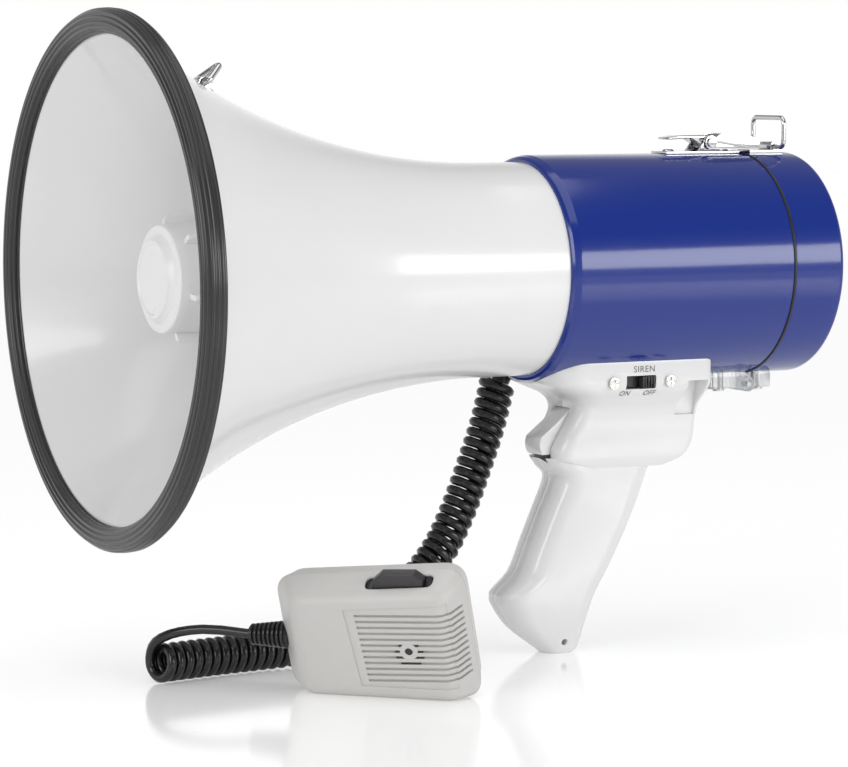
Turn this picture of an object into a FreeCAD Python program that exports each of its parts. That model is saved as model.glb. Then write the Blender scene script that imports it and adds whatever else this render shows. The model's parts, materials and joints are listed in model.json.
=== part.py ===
import FreeCAD, Part
import math
import os
from FreeCAD import Vector

# A hand-held megaphone with a pistol grip and a fist microphone on a curly cord.
# Millimetres. The origin is the middle of the small flat foot under the grip.
# +X runs back along the horn axis, +Z is up, the siren panel faces -Y.

# ---- driving dimensions ----
AXIS_Z = 174.0          # height of the horn axis above the foot
RIM_X = -216.0          # middle of the rubber rim
RIM_R = 115.0           # outside radius of the rubber rim
RIM_DEEP = 10.4         # rubber, along the axis
RIM_TALL = 11.5         # rubber, along the radius
BELL_MOUTH_R = 106.0    # outside of the flare at the rim
BELL_SLOPE = math.radians(31.4)
BELL_BEND_R = 285.0     # outside radius of the flare's curve
TUBE_R = 47.7           # outside of the bell's straight tube
WALL = 2.5
TUBE_END_X = 2.0
HOUSING_R = 50.8
HOUSING_IN_R = 48.2
LIP_X = -18.7
LIP_R = 48.7
BEVEL = 4.2
SEAM_X = 95.0
GASKET_W = 1.2
CAP_X = SEAM_X + GASKET_W
REAR_X = 122.4
REFLECTOR_X = -193.0    # front face of the reflector
REFLECTOR_R = 23.5
REFLECTOR_END_X = -75.0
CELL_R = 13.0
CELL_LONG = 50.0
CELL_RING_R = 30.4
HINGE_X = CAP_X
HINGE_Z = AXIS_Z - 55.5
LATCH_X = 77.7          # latch pivot
LATCH_Z = AXIS_Z + 55.5
SHELL = 2.5             # wall of the two handle shells
TRIGGER_X = 8.0         # trigger pivot
TRIGGER_Z = 107.0
SIREN_SCREW_X = (13.4, 42.6)
SIREN_SCREW_Z = 123.6
CORD_D = 4.5
COIL_D = 17.5
MIC_YAW = math.radians(-45.0)
MIC_LEAN = math.radians(20.0)    # the side walls' draft, which the mic lies on
MIC_TAPER = math.radians(2.5)
MIC_FOOT = Vector(-116.2, -82.3, 0.0)
MIC_MID_HALF = 23.5      # half the face's height, half way along it
MIC_FACE_HALF = 34.0     # half the face's length
MIC_FRONT_DEEP = 15.0
MIC_BACK_DEEP = 12.0
RELIEF_TIP = -60.0       # the strain relief's outer end, along the mic
RELIEF_Y = -1.5

TOP = AXIS_Z + HOUSING_R
PARTS = {}
X = Vector(1, 0, 0)
Z = Vector(0, 0, 1)


# ---- helpers ----
def face(items, lift=0.0):
    """A flat face in the XZ plane. An item is a point, or (middle, end) of an arc."""
    def place(p):
        return Vector(p[0], 0, p[1] + lift)
    start = place(items[0])
    last = start
    edges = []
    for item in items[1:]:
        if isinstance(item[0], tuple):
            end = place(item[1])
            edges.append(Part.Arc(last, place(item[0]), end).toShape())
        else:
            end = place(item)
            edges.append(Part.LineSegment(last, end).toShape())
        last = end
    if last.distanceToPoint(start) > 1e-6:
        edges.append(Part.LineSegment(last, start).toShape())
    return Part.Face(Part.Wire(edges))


def turned(items):
    """A solid of revolution about the horn axis, from (x, radius) points."""
    return face(items, AXIS_Z).revolve(Vector(0, 0, AXIS_Z), X, 360)


def across(items, y0, y1):
    """An outline in the XZ plane, extruded from y0 to y1."""
    flat = face(items)
    flat.translate(Vector(0, y0, 0))
    return flat.extrude(Vector(0, y1 - y0, 0))


def rod(start, end, radius):
    start, end = Vector(*start), Vector(*end)
    return Part.makeCylinder(radius, (end - start).Length, start, end - start)


def ring(x0, x1, outer, inner, z=AXIS_Z, y=0.0):
    whole = rod((x0, y, z), (x1, y, z), outer)
    return whole.cut(rod((x0 - 1, y, z), (x1 + 1, y, z), inner))


def box(x0, x1, y0, y1, z0, z1):
    return Part.makeBox(x1 - x0, y1 - y0, z1 - z0, Vector(x0, y0, z0))


def joined(shapes):
    whole = shapes[0]
    for other in shapes[1:]:
        whole = whole.fuse(other)
    return whole.removeSplitter()


def group(shapes):
    return Part.makeCompound(shapes)


def around(shape, angle):
    copy = shape.copy()
    copy.rotate(Vector(0, 0, AXIS_Z), X, angle)
    return copy


def keep(name, shape):
    PARTS[name] = shape


# ---- horn ----
def flare(wall):
    """(x, radius) points of the flare's wall, set in from the outside by wall."""
    flare_long = (BELL_MOUTH_R - TUBE_R) / math.tan(BELL_SLOPE)
    bend_x = RIM_X + flare_long + BELL_BEND_R * math.tan(BELL_SLOPE / 2)
    bend_r = TUBE_R + BELL_BEND_R
    reach = BELL_BEND_R + wall

    def on_bend(angle):
        return (bend_x - reach * math.sin(angle), bend_r - reach * math.cos(angle))
    mouth = (RIM_X, BELL_MOUTH_R - wall / math.cos(BELL_SLOPE))
    return [mouth, on_bend(BELL_SLOPE), (on_bend(BELL_SLOPE / 2), on_bend(0.0)),
            (TUBE_END_X, TUBE_R - wall)]


def bell_inner_radius(x):
    points = flare(WALL)
    start, end = points[1], points[2][1]
    if x < start[0]:
        return points[0][1] - (x - RIM_X) * math.tan(BELL_SLOPE)
    if x > end[0]:
        return end[1]
    reach = BELL_BEND_R + WALL
    return end[1] + reach - math.sqrt(reach ** 2 - (end[0] - x) ** 2)


def build_horn():
    outer = turned(flare(0.0) + [(TUBE_END_X, 0.0), (RIM_X, 0.0)])
    inner = turned(flare(WALL) + [(TUBE_END_X, 0.0), (RIM_X, 0.0)])
    flange_r = RIM_R - 5.0
    flange = ring(RIM_X - 1.2, RIM_X + 1.2, flange_r, BELL_MOUTH_R - 3.2)
    bell = joined([outer.cut(inner), flange])
    keep("horn_bell", bell)

    half, inner_r, soft = RIM_DEEP / 2, RIM_R - RIM_TALL, 3.5
    slant = soft * (1 - math.sqrt(0.5))
    front, back = RIM_X - half, RIM_X + half
    section = [(front, inner_r + soft), (front, RIM_R - soft),
               ((front + slant, RIM_R - slant), (front + soft, RIM_R)),
               (back - soft, RIM_R), ((back - slant, RIM_R - slant), (back, RIM_R - soft)),
               (back, inner_r + 1), (back - 1, inner_r), (front + soft, inner_r),
               ((front + slant, inner_r + slant), (front, inner_r + soft))]
    rubber = turned(section).cut(outer).cut(flange)
    solids = sorted(rubber.Solids, key=lambda s: s.Volume)
    keep("rim_bumper", solids[-1])

    x0, r0, x1 = REFLECTOR_X, REFLECTOR_R, REFLECTOR_END_X
    cup = turned([(x0, 0), (x0, r0 - 1.2), (x0 + 1.2, r0), (x0 + 43, r0 + 1), (x1 - 30, r0 + 4),
                  (x1, r0 + 10.5), (x1, r0 + 8.5), (x1 - 30, r0 + 2), (x0 + 43, r0 - 1),
                  (x0 + 2.5, r0 - 2), (x0 + 2.5, 0)])
    foot = [(x, bell_inner_radius(x) - 0.3) for x in (-112.0, -102.0, -92.0, -80.0)]
    fin = across([(x0 + 5, AXIS_Z + r0 - 1), (x0 + 7, AXIS_Z + r0 + 3.5),
                  (x0 + 40, AXIS_Z + r0 + 6)] + [(x, AXIS_Z + r) for x, r in foot]
                 + [(-80.0, AXIS_Z + r0 + 9), (-105.0, AXIS_Z + r0 + 3), (x0 + 43, AXIS_Z + r0)],
                 -1.2, 1.2)
    fins = [around(fin, 45 + 60 * i) for i in range(6)]
    keep("reflector_horn", joined([cup] + fins))
    keep("reflector_cap", turned([(x0, 0), (x0, 18.2), (x0 - 1, 18.2), (x0 - 2.2, 16.6),
                                  (x0 - 2.4, 16.3), (x0 - 2.4, 0)]))

    plate_x = -38.0
    keep("tone_tube", turned([(plate_x, 9.0), (plate_x, 12.0), (plate_x - 3, 10.6),
                              (-178.0, 18.6), (-178.0, 17.0)]))
    keep("driver_plate", ring(plate_x, plate_x + 4, TUBE_R - WALL, 9.0))


def build_driver():
    x = -34.0
    dome = [(0.2, 24.0), (0.2, 16.0), (2.0, 11.0), (3.2, 5.0), (3.4, 0.0), (4.2, 0.0), (4.0, 5.0),
            (2.8, 11.4), (1.0, 16.4), (1.0, 24.0)]
    keep("driver_diaphragm", turned([(x + along, r) for along, r in dome]))
    keep("driver_voice_coil", ring(x + 2.6, x + 11, 16.0, 15.2))
    keep("driver_top_plate", ring(x + 6, x + 11, 34.0, 16.8))
    keep("driver_magnet", ring(x + 11, x + 27, 36.0, 20.0))
    back = joined([rod((x + 27, 0, AXIS_Z), (x + 32, 0, AXIS_Z), 34.0),
                   rod((x + 7, 0, AXIS_Z), (x + 27, 0, AXIS_Z), 14.4)])
    keep("driver_back_plate", back)
    cover = joined([ring(x, x + 36, 39.5, 37.5), ring(x, x + 2, 43.0, 37.5),
                    ring(x + 34, x + 36, 39.5, 6.0)])
    keep("driver_cover", cover)
    spacer = ring(x, x + 6, 34.0, 25.0)
    keep("driver_seal_ring", spacer)


# ---- housing, cells and rear cap ----
def build_housing():
    low, high = LIP_X, LIP_X + BEVEL
    shell = turned([(low, TUBE_R), (low, LIP_R), ((low + 1.2, HOUSING_R - 0.9), (high, HOUSING_R)),
                    (SEAM_X, HOUSING_R), (SEAM_X, HOUSING_IN_R), (LIP_X + 10, HOUSING_IN_R),
                    (LIP_X + 10, TUBE_R)])
    keep("rear_housing", shell)
    keep("battery_bulkhead", rod((26, 0, AXIS_Z), (29, 0, AXIS_Z), HOUSING_IN_R))
    keep("seam_gasket", ring(SEAM_X, CAP_X, HOUSING_R - 0.6, HOUSING_IN_R))

    front, back = 33.0, 88.0
    cell_x = 37.5
    spots = [(0.0, 0.0)]
    for i in range(7):
        turn = 2 * math.pi * i / 7
        spots.append((CELL_RING_R * math.sin(turn), CELL_RING_R * math.cos(turn)))
    tray = [rod((front, 0, AXIS_Z), (front + 3, 0, AXIS_Z), 47.0),
            rod((back, 0, AXIS_Z), (back + 3, 0, AXIS_Z), 47.0)]
    for i in (0, 2, 5):
        turn = 2 * math.pi * (i + 0.5) / 7
        y, z = 42.6 * math.sin(turn), AXIS_Z + 42.6 * math.cos(turn)
        tray.append(rod((front, y, z), (back, y, z), 3.0))
    keep("battery_tray", joined(tray))
    cells, springs = [], []
    for y, dz in spots:
        z = AXIS_Z + dz
        can = rod((cell_x, y, z), (cell_x + CELL_LONG - 1.0, y, z), CELL_R)
        nub = rod((cell_x + CELL_LONG - 1.0, y, z), (cell_x + CELL_LONG + 0.5, y, z), 3.2)
        cells.append(can.fuse(nub))
        springs.append(Part.makeCone(6.0, 3.5, cell_x - front - 3, Vector(front + 3, y, z), X))
    keep("battery_cells", group(cells))
    keep("battery_springs", group(springs))


def build_rear_cap():
    r, t = HOUSING_R, WALL
    cap = turned([(CAP_X, r), (REAR_X - 3, r), ((REAR_X - 0.9, r - 0.9), (REAR_X, r - 3)),
                  (REAR_X, 0), (REAR_X - t, 0), (REAR_X - t, r - t - 1), (CAP_X - 3.5, r - t - 1),
                  (CAP_X - 3.5, HOUSING_IN_R - 0.5), (CAP_X, HOUSING_IN_R - 0.5)])
    keep("rear_cap", cap)
    keep("cap_pad", joined([ring(93.5, REAR_X - t, 24.0, 21.0), ring(91.5, 93.5, 27.0, 16.0)]))

    plate = box(98.0, 116.0, -8.0, 8.0, TOP - 1.2, TOP + 1.0).cut(housing_core(0.0))
    tongue = across([(99.0, TOP), (100.4, TOP), (100.8, TOP + 3.2), (99.8, TOP + 3.4)], -4.2, 4.2)
    curl = rod((113.0, -5.5, TOP + 2.4), (113.0, 5.5, TOP + 2.4), 2.4)
    catch = joined([plate, tongue, curl])
    catch = catch.cut(rod((113.0, -9, TOP + 2.4), (113.0, 9, TOP + 2.4), 1.2))
    keep("cap_catch", catch)
    keep("rear_strap_ring", wire_ring([(113.0, y, TOP + z) for y, z in
                                       ((-13.0, 2.4), (-13.0, 15.8), (13.0, 15.8), (13.0, 2.4))],
                                      1.1, 3.0))


def housing_core(extra):
    return rod((-60, 0, AXIS_Z), (200, 0, AXIS_Z), HOUSING_R + extra)


def wire_ring(corners, radius, bend):
    """A closed loop of round wire: straight sides and rounded corners."""
    points = [Vector(*p) for p in corners]
    count = len(points)
    starts, ends, mids = [], [], []
    for i, here in enumerate(points):
        before = (points[i - 1] - here).normalize()
        after = (points[(i + 1) % count] - here).normalize()
        half = before.getAngle(after) / 2
        cut = bend / math.tan(half)
        bisector = (before + after).normalize()
        centre = here + bisector * (bend / math.sin(half))
        starts.append(here + before * cut)
        ends.append(here + after * cut)
        mids.append(centre - bisector * bend)
    edges = []
    for i in range(count):
        edges.append(Part.Arc(starts[i], mids[i], ends[i]).toShape())
        edges.append(Part.LineSegment(ends[i], starts[(i + 1) % count]).toShape())
    pieces = []
    for edge in edges:
        first = edge.valueAt(edge.FirstParameter)
        along = edge.tangentAt(edge.FirstParameter)
        disc = Part.Face(Part.Wire(Part.Circle(first, along, radius).toShape()))
        if isinstance(edge.Curve, Part.Line):
            pieces.append(disc.extrude(edge.valueAt(edge.LastParameter) - first))
        else:
            turn = math.degrees(edge.LastParameter - edge.FirstParameter)
            pieces.append(disc.revolve(edge.Curve.Center, edge.Curve.Axis, turn))
    return joined(pieces)


# ---- hinge and latch ----
def hinge_screw(x, y, low):
    """A countersunk-looking flat head with a slot, and a shank that stops inside the wall."""
    skin = AXIS_Z - math.sqrt(HOUSING_R ** 2 - y ** 2)
    shank = rod((x, y, low), (x, y, skin + 1.6), 1.5)
    head = rod((x, y, low - 1.4), (x, y, low), 2.8)
    slot = box(x - 1.8, x + 1.8, y - 0.3, y + 0.3, low - 2, low - 0.7)
    return joined([shank, head]).cut(slot)


def build_hinge():
    half, knuckle_r, pin_r = 11.0, 3.4, 1.2
    low = HINGE_Z - 1.5
    core = housing_core(0.0)
    leaf = box(74.0, HINGE_X - 1.7, -half, half, low, HINGE_Z + 7).cut(core)
    knuckles = [rod((HINGE_X, y0, HINGE_Z), (HINGE_X, y1, HINGE_Z), knuckle_r)
                for y0, y1 in ((-half, -4.5), (4.5, half))]
    arms = [box(HINGE_X - 4, HINGE_X, y0, y1, low, HINGE_Z + 2)
            for y0, y1 in ((-half, -4.5), (4.5, half))]
    pin_hole = rod((HINGE_X, -20, HINGE_Z), (HINGE_X, 20, HINGE_Z), pin_r)
    slot = box(HINGE_X - 4.2, HINGE_X + 6, -4.5, 4.5, low - 3, HINGE_Z + 4.2)
    screws = [(83.0, -6.0), (83.0, 6.0)]
    fixed = joined([leaf] + arms + knuckles).cut(slot).cut(pin_hole)
    solids = []
    for sx, sy in screws:
        solids.append(hinge_screw(sx, sy, low))
        fixed = fixed.cut(rod((sx, sy, low - 5), (sx, sy, low + 12), 1.5))
        PARTS["rear_housing"] = PARTS["rear_housing"].cut(rod((sx, sy, low), (sx, sy, low + 9), 1.5))
    keep("hinge_leaf_fixed", fixed)
    keep("hinge_screws", group(solids))
    keep("hinge_pin", rod((HINGE_X, -half - 0.6, HINGE_Z), (HINGE_X, half + 0.6, HINGE_Z), pin_r))

    block = box(HINGE_X + 4.2, 108.0, -half, half, low, HINGE_Z + 7).cut(core)
    arm = box(HINGE_X, HINGE_X + 5, -4.2, 4.2, low, HINGE_Z + 1.5)
    knuckle = rod((HINGE_X, -4.2, HINGE_Z), (HINGE_X, 4.2, HINGE_Z), knuckle_r)
    moving = joined([block, arm, knuckle]).cut(rod((HINGE_X, -20, HINGE_Z), (HINGE_X, 20, HINGE_Z),
                                                   pin_r + 0.05))
    sx = 103.6
    solids = []
    for sy in (-6.0, 6.0):
        solids.append(hinge_screw(sx, sy, low))
        moving = moving.cut(rod((sx, sy, low - 5), (sx, sy, low + 12), 1.5))
        PARTS["rear_cap"] = PARTS["rear_cap"].cut(rod((sx, sy, low), (sx, sy, low + 9), 1.5))
    keep("hinge_leaf_moving", moving)
    keep("cap_hinge_screws", group(solids))


def build_latch():
    x, z, t = LATCH_X, LATCH_Z, 0.9
    plate = box(54.0, 93.0, -7.0, 7.0, TOP - 1.0, TOP + t).cut(housing_core(0.0))
    cheek = [(x - 7, TOP), (x + 6, TOP), (x + 3.2, z + 0.5), ((x, z + 3.3), (x - 3.2, z + 0.5))]
    cheeks = [across(cheek, y, y + t) for y in (-5.9, 5.0)]
    hole = rod((x, -20, z), (x, 20, z), 1.3)
    rivets = []
    base = joined([plate] + cheeks).cut(hole)
    for rx in (59.0, 88.0):
        base = base.cut(rod((rx, 0, TOP - 3), (rx, 0, TOP + 3), 1.6))
        PARTS["rear_housing"] = PARTS["rear_housing"].cut(rod((rx, 0, TOP - 8), (rx, 0, TOP + 3), 1.6))
        shank = rod((rx, 0, TOP - WALL - 1), (rx, 0, TOP + t), 1.6)
        rivets.append(joined([shank, Part.makeCone(2.9, 2.1, 0.9, Vector(rx, 0, TOP + t), Z)]))
    keep("latch_base", base)
    keep("latch_rivets", group(rivets))
    pin = joined([rod((x, -7.9, z), (x, 7.9, z), 1.25), rod((x, -8.7, z), (x, -7.7, z), 2.3),
                  rod((x, 7.7, z), (x, 8.7, z), 2.3)])
    keep("latch_pin", pin)

    tip = 56.0
    lever = across([(tip, z + 2.4), (tip + 0.6, z + 1.5), (x - 9, z + 2.0), (x - 3.3, z - 1.2),
                    ((x, z - 3.4), (x + 3.4, z)), ((x + 2.4, z + 2.4), (x, z + 3.4)),
                    (tip + 6, z + 3.3)], -4.7, 4.7)
    keep("latch_lever", lever.cut(rod((x, -20, z), (x, 20, z), 1.32)))

    bar_x, bar_z = 102.4, TOP + 2.4
    cheek = [(x, z - 2.9), (bar_x, bar_z - 1.2), (bar_x + 1.3, bar_z), (bar_x + 1.0, bar_z + 4.2),
             (x + 5.6, z + 4.2), (x + 2.4, z + 2.2), ((x - 2.9, z), (x, z - 2.9))]
    sides = [across(cheek, y, y + t) for y in (-7.3, 6.4)]
    top = across([(x + 8.5, z + 4.2), (bar_x + 1.0, bar_z + 4.2), (bar_x + 1.0, bar_z + 3.3),
                  (x + 8.5, z + 3.3)], -7.3, 7.3)
    bar = rod((bar_x, -7.3, bar_z), (bar_x, 7.3, bar_z), 1.1)
    link = joined(sides + [top, bar]).cut(rod((x, -20, z), (x, 20, z), 1.32))
    keep("latch_link", link)


# ---- strap ring on the bell ----
def build_front_ring():
    x, z = -173.0, AXIS_Z + 83.4
    seat_r = BELL_MOUTH_R - (x - RIM_X) * math.tan(BELL_SLOPE)
    block = box(x - 4.5, x + 4.5, -3.4, 3.4, AXIS_Z + seat_r - 5, z)
    lug = joined([block, rod((x, -3.4, z), (x, 3.4, z), 2.6)])
    lug = lug.cut(turned(flare(0.0) + [(TUBE_END_X, 0.0), (RIM_X, 0.0)]))
    lug = lug.cut(rod((x, -9, z), (x, 9, z), 1.55))
    keep("front_strap_bracket", lug)
    keep("front_strap_ring", wire_ring([(x, -7.5, z), (x + 9.6, 0.0, z + 8.2), (x, 7.5, z)], 1.4, 1.9))


# ---- handle ----
def slab_wire(z, x0, x1, half, corner):
    """A rounded rectangle at height z, from x0 to x1 and half each side of y = 0."""
    corner = min(corner, half - 0.2, (x1 - x0) / 2 - 0.2)
    d = corner * (1 - math.sqrt(0.5))
    p = [(x0 + corner, -half), (x1 - corner, -half), (x1, -half + corner), (x1, half - corner),
         (x1 - corner, half), (x0 + corner, half), (x0, half - corner), (x0, -half + corner)]
    m = [(x1 - d, -half + d), (x1 - d, half - d), (x0 + d, half - d), (x0 + d, -half + d)]
    v = [Vector(a, b, z) for a, b in p]
    w = [Vector(a, b, z) for a, b in m]
    edges = []
    for i in range(4):
        edges.append(Part.LineSegment(v[2 * i], v[2 * i + 1]).toShape())
        edges.append(Part.Arc(v[2 * i + 1], w[i], v[(2 * i + 2) % 8]).toShape())
    return Part.Wire(edges)


# height, front, back, half width and corner of the grip, and then of the block above it
GRIP = [(0.0, -6.5, 8.0, 7.0, 6.5), (2.5, -9.5, 10.5, 9.0, 8.0), (12.0, -22.0, 13.0, 12.0, 10.0),
        (22.0, -29.3, 16.2, 13.5, 11.0), (28.0, -30.8, 19.0, 14.0, 12.0), (37.0, -21.5, 24.5, 14.5, 12.5),
        (50.0, -15.6, 31.5, 14.5, 12.5), (65.0, -9.0, 38.8, 14.5, 12.5), (79.0, -3.0, 44.0, 15.0, 12.5),
        (84.5, -6.5, 46.0, 15.0, 12.0), (89.0, -9.7, 48.0, 15.0, 12.0)]
BLOCK = [(84.0, 8.0, 50.0, 15.0, 8.0), (88.0, -6.0, 60.0, 16.0, 8.0), (95.0, -5.0, 64.5, 16.5, 8.0),
         (104.0, 0.5, 65.5, 17.0, 8.0), (111.0, 4.0, 66.0, 19.0, 8.0), (116.0, 2.0, 66.0, 24.0, 10.0),
         (120.0, -7.0, 66.0, 28.5, 14.0), (124.0, -15.0, 66.0, 30.0, 18.0), (134.0, -19.0, 66.0, 30.0, 20.0)]


def lofted(rows, inset):
    wires = []
    for z, x0, x1, half, corner in rows:
        wires.append(slab_wire(z, x0 + inset, x1 - inset, half - inset, max(corner - inset, 1.0)))
    return Part.makeLoft(wires, True, True)


def build_handle():
    housing = housing_core(0.0)
    outer = joined([lofted(GRIP, 0.0), lofted(BLOCK, 0.0)]).cut(housing)
    outer = max(outer.Solids, key=lambda s: s.Volume)
    hollow_grip = [row for row in GRIP if 12.0 <= row[0]]
    hollow_block = [(row[0] + (SHELL if i == 0 else 0.0),) + row[1:] for i, row in enumerate(BLOCK)]
    inner = joined([lofted(hollow_grip, SHELL), lofted(hollow_block, SHELL)])
    inner = inner.cut(housing_core(SHELL))
    sweep = rod((TRIGGER_X, -7.4, TRIGGER_Z), (TRIGGER_X, 7.4, TRIGGER_Z), 25.3)
    slot = sweep.common(box(-40, TRIGGER_X, -8, 8, 60, 111.2))
    window = box(20.2, 35.4, -40, -20, 120.5, 126.6)
    lanyard = rod((0, -30, 5.6), (0, 30, 5.6), 1.5)
    pin = rod((TRIGGER_X, -12, TRIGGER_Z), (TRIGGER_X, 12, TRIGGER_Z), 1.5)
    screw_spots = ((2.0, 24.0, 13.0), (18.0, 58.0, 14.0), (58.0, 98.0, 16.0))
    shell = outer.cut(inner).cut(slot).cut(window).cut(lanyard)
    posts = [rod((TRIGGER_X, -15, TRIGGER_Z), (TRIGGER_X, -8.5, TRIGGER_Z), 3.5),
             rod((TRIGGER_X, 11.2, TRIGGER_Z), (TRIGGER_X, 15, TRIGGER_Z), 3.5),
             rod((25.0, 10.0, 112.0), (25.0, 18, 112.0), 2.5),
             rod((50.0, 10.0, 95.0), (50.0, 16, 95.0), 2.5)]
    for x, z, half in screw_spots:
        posts.append(rod((x, -half + 1, z), (x, half - 1, z), 3.6))
    shell = joined([shell] + [post.common(outer) for post in posts])
    screws = []
    for x, z, half in screw_spots:
        head_y = half - 2.0
        shank = rod((x, -9, z), (x, head_y, z), 1.4)
        screws.append(joined([shank, rod((x, head_y - 2, z), (x, head_y, z), 2.7)]))
        shell = shell.cut(shank).cut(rod((x, head_y - 2, z), (x, 30, z), 2.7))
    shell = shell.cut(pin)
    for x in SIREN_SCREW_X:
        shell = shell.cut(rod((x, -40, SIREN_SCREW_Z), (x, -22, SIREN_SCREW_Z), 1.4))
    left = shell.common(box(-60, 100, -50, 0, -5, 140))
    right = shell.common(box(-60, 100, 0, 50, -5, 140))
    keep("handle_left_shell", max(left.Solids, key=lambda s: s.Volume))
    keep("handle_right_shell", max(right.Solids, key=lambda s: s.Volume))
    keep("handle_screws", group(screws))
    heads = []
    for x in SIREN_SCREW_X:
        z = SIREN_SCREW_Z
        head = joined([rod((x, -31.2, z), (x, -30.0, z), 2.7), rod((x, -30.0, z), (x, -24.0, z), 1.4)])
        level = box(x - 1.7, x + 1.7, -31.3, -30.6, z - 0.3, z + 0.3)
        upright = box(x - 0.3, x + 0.3, -31.3, -30.6, z - 1.7, z + 1.7)
        heads.append(head.cut(level).cut(upright))
    keep("siren_screws", group(heads))


def build_trigger():
    x, z = TRIGGER_X, TRIGGER_Z
    body = across([(4.6, 110.9), ((-4.0, 103.6), (-10.4, 98.6)), ((-11.3, 95.6), (-10.9, 92.6)),
                   (-10.0, 90.4), (-3.0, 90.6), (6.0, 103.4), ((12.0, z), (x, z + 4.0))], -7.0, 7.0)
    keep("trigger", body.cut(rod((x, -20, z), (x, 20, z), 1.55)))
    keep("trigger_pin", rod((x, -12, z), (x, 12, z), 1.5))
    coil = rod((x, 7.8, z), (x, 10.6, z), 2.9).cut(rod((x, 7, z), (x, 12, z), 1.9))
    leg = rod((x + 2.4, 9.2, z), (x + 9.0, 9.2, z - 6.0), 0.5)
    keep("trigger_spring", joined([coil, leg]))
    switch = joined([box(16, 28, -4, 4, 89, 97), box(12.6, 16, -1.5, 1.5, 92, 94)])
    keep("trigger_switch", switch)


def build_electronics():
    switch = box(18.6, 37.0, -25.6, -20.5, 121.2, 126.4).cut(housing_core(SHELL + 0.3))
    keep("siren_switch_body", switch)
    ribs = [box(x, x + 0.6, -30.9, -30.3, 121.2, 125.9) for x in (29.4, 30.8, 32.2, 33.6)]
    knob = joined([box(28.4, 35.0, -30.3, -26.6, 121.0, 126.1)] + ribs)
    keep("siren_knob", knob)
    keep("amp_board", box(20, 53, 8.4, 10.0, 92.0, 116.0))
    fins = [box(x, x + 1.2, -4, 8.4, 100, 115) for x in (38, 41, 44, 47, 50)]
    keep("amp_heatsink", joined([box(38, 51.2, 6.4, 8.4, 100, 115)] + fins))
    keep("amp_transformer", joined([box(20, 32, -5, 8.4, 102, 112), box(17.5, 34.5, -2, 5.5, 104, 110)]))


# ---- cord ----
COIL_ROUTE = [(-16.0, 24.5, 121.0), (-20.0, 24.0, 105.0), (-28.5, 22.5, 85.0), (-38.0, 20.5, 64.0),
              (-50.0, 18.5, 44.0), (-69.0, 17.5, 26.5), (-94.0, 16.0, 14.0), (-121.0, 14.5, 8.9),
              (-148.0, 11.5, 8.8), (-172.0, 7.5, 8.8), (-193.0, 2.5, 8.8)]
TAIL_ROUTE = [(-194.3, 8.9, 8.8), (-194.6, 8.0, 13.0), (-193.8, 5.0, 18.0), (-189.5, -0.8, 21.8),
              (-183.0, -7.2, 24.0), (-174.0, -15.2, 25.0), (-162.45, -25.48, 23.32)]


def tube(route, diameter, label):
    """Straight runs joined by the largest tangent arcs that the runs allow."""
    points = [Vector(*p) for p in route]
    discs, pieces, length, radii = [], [], 0.0, []
    here = points[0]
    for i in range(1, len(points)):
        run = points[i] - points[i - 1]
        along = Vector(run).normalize()
        cut = 0.0
        if i < len(points) - 1:
            after = points[i + 1] - points[i]
            turn = run.getAngle(after)
            cut = 0.45 * min(run.Length, after.Length)
            bend = cut / math.tan(turn / 2)
            radii.append(bend)
        end = points[i] - along * cut
        disc = Part.Face(Part.Wire(Part.Circle(here, along, diameter / 2).toShape()))
        pieces.append(disc.extrude(end - here))
        length += (end - here).Length
        if cut:
            onward = Vector(after).normalize()
            axis = run.cross(after).normalize()
            centre = end + axis.cross(along) * bend
            disc = Part.Face(Part.Wire(Part.Circle(end, along, diameter / 2).toShape()))
            pieces.append(disc.revolve(centre, axis, math.degrees(turn)))
            length += bend * turn
            here = points[i] + onward * cut
    whole = joined(pieces)
    ideal = math.pi * diameter ** 2 / 4 * length
    print(label, "length %.1f" % length, "volume ratio %.4f" % (whole.Volume / ideal),
          "radii", [round(r) for r in radii])
    return whole


def build_cord():
    keep("cord_coil", tube(COIL_ROUTE, COIL_D, "coil"))
    x, y, bottom = COIL_ROUTE[0]
    flange = rod((x + 4.5, y, bottom + 4.0), (x + 4.5, y, bottom + 16.0), 7.0)
    nozzle = rod((x, y, bottom - 2.0), (x + 4.5, y, bottom + 6.0), 4.2)
    gland = joined([flange, nozzle]).cut(housing_core(0.0)).cut(PARTS["cord_coil"])
    gland = gland.cut(PARTS["handle_right_shell"])
    keep("cord_gland", max(gland.Solids, key=lambda s: s.Volume))
    end, before = Vector(*COIL_ROUTE[-1]), Vector(*COIL_ROUTE[-2])
    clear_of_coil = Part.makeCylinder(COIL_D / 2 + 0.1, 60, end, before - end)
    tail = tube(TAIL_ROUTE, CORD_D, "tail").cut(clear_of_coil)
    keep("cord_tail", max(tail.Solids, key=lambda s: s.Volume))


# ---- microphone, in its own frame: X along it, Y up the face, Z out of the face ----
def mic_placement():
    flat = Vector(math.cos(MIC_YAW), math.sin(MIC_YAW), 0)
    out = Vector(math.sin(MIC_YAW), -math.cos(MIC_YAW), 0)
    normal = out * math.cos(MIC_LEAN) - Z * math.sin(MIC_LEAN)
    rise = Z * math.cos(MIC_LEAN) + out * math.sin(MIC_LEAN)
    long_axis = flat * math.cos(MIC_TAPER) + rise * math.sin(MIC_TAPER)
    up = rise * math.cos(MIC_TAPER) - flat * math.sin(MIC_TAPER)
    centre = MIC_FOOT - flat * 13.0 + rise * MIC_MID_HALF * math.cos(MIC_TAPER)
    m = FreeCAD.Matrix(long_axis.x, up.x, normal.x, centre.x, long_axis.y, up.y, normal.y, centre.y,
                       long_axis.z, up.z, normal.z, centre.z, 0, 0, 0, 1)
    return m




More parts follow.
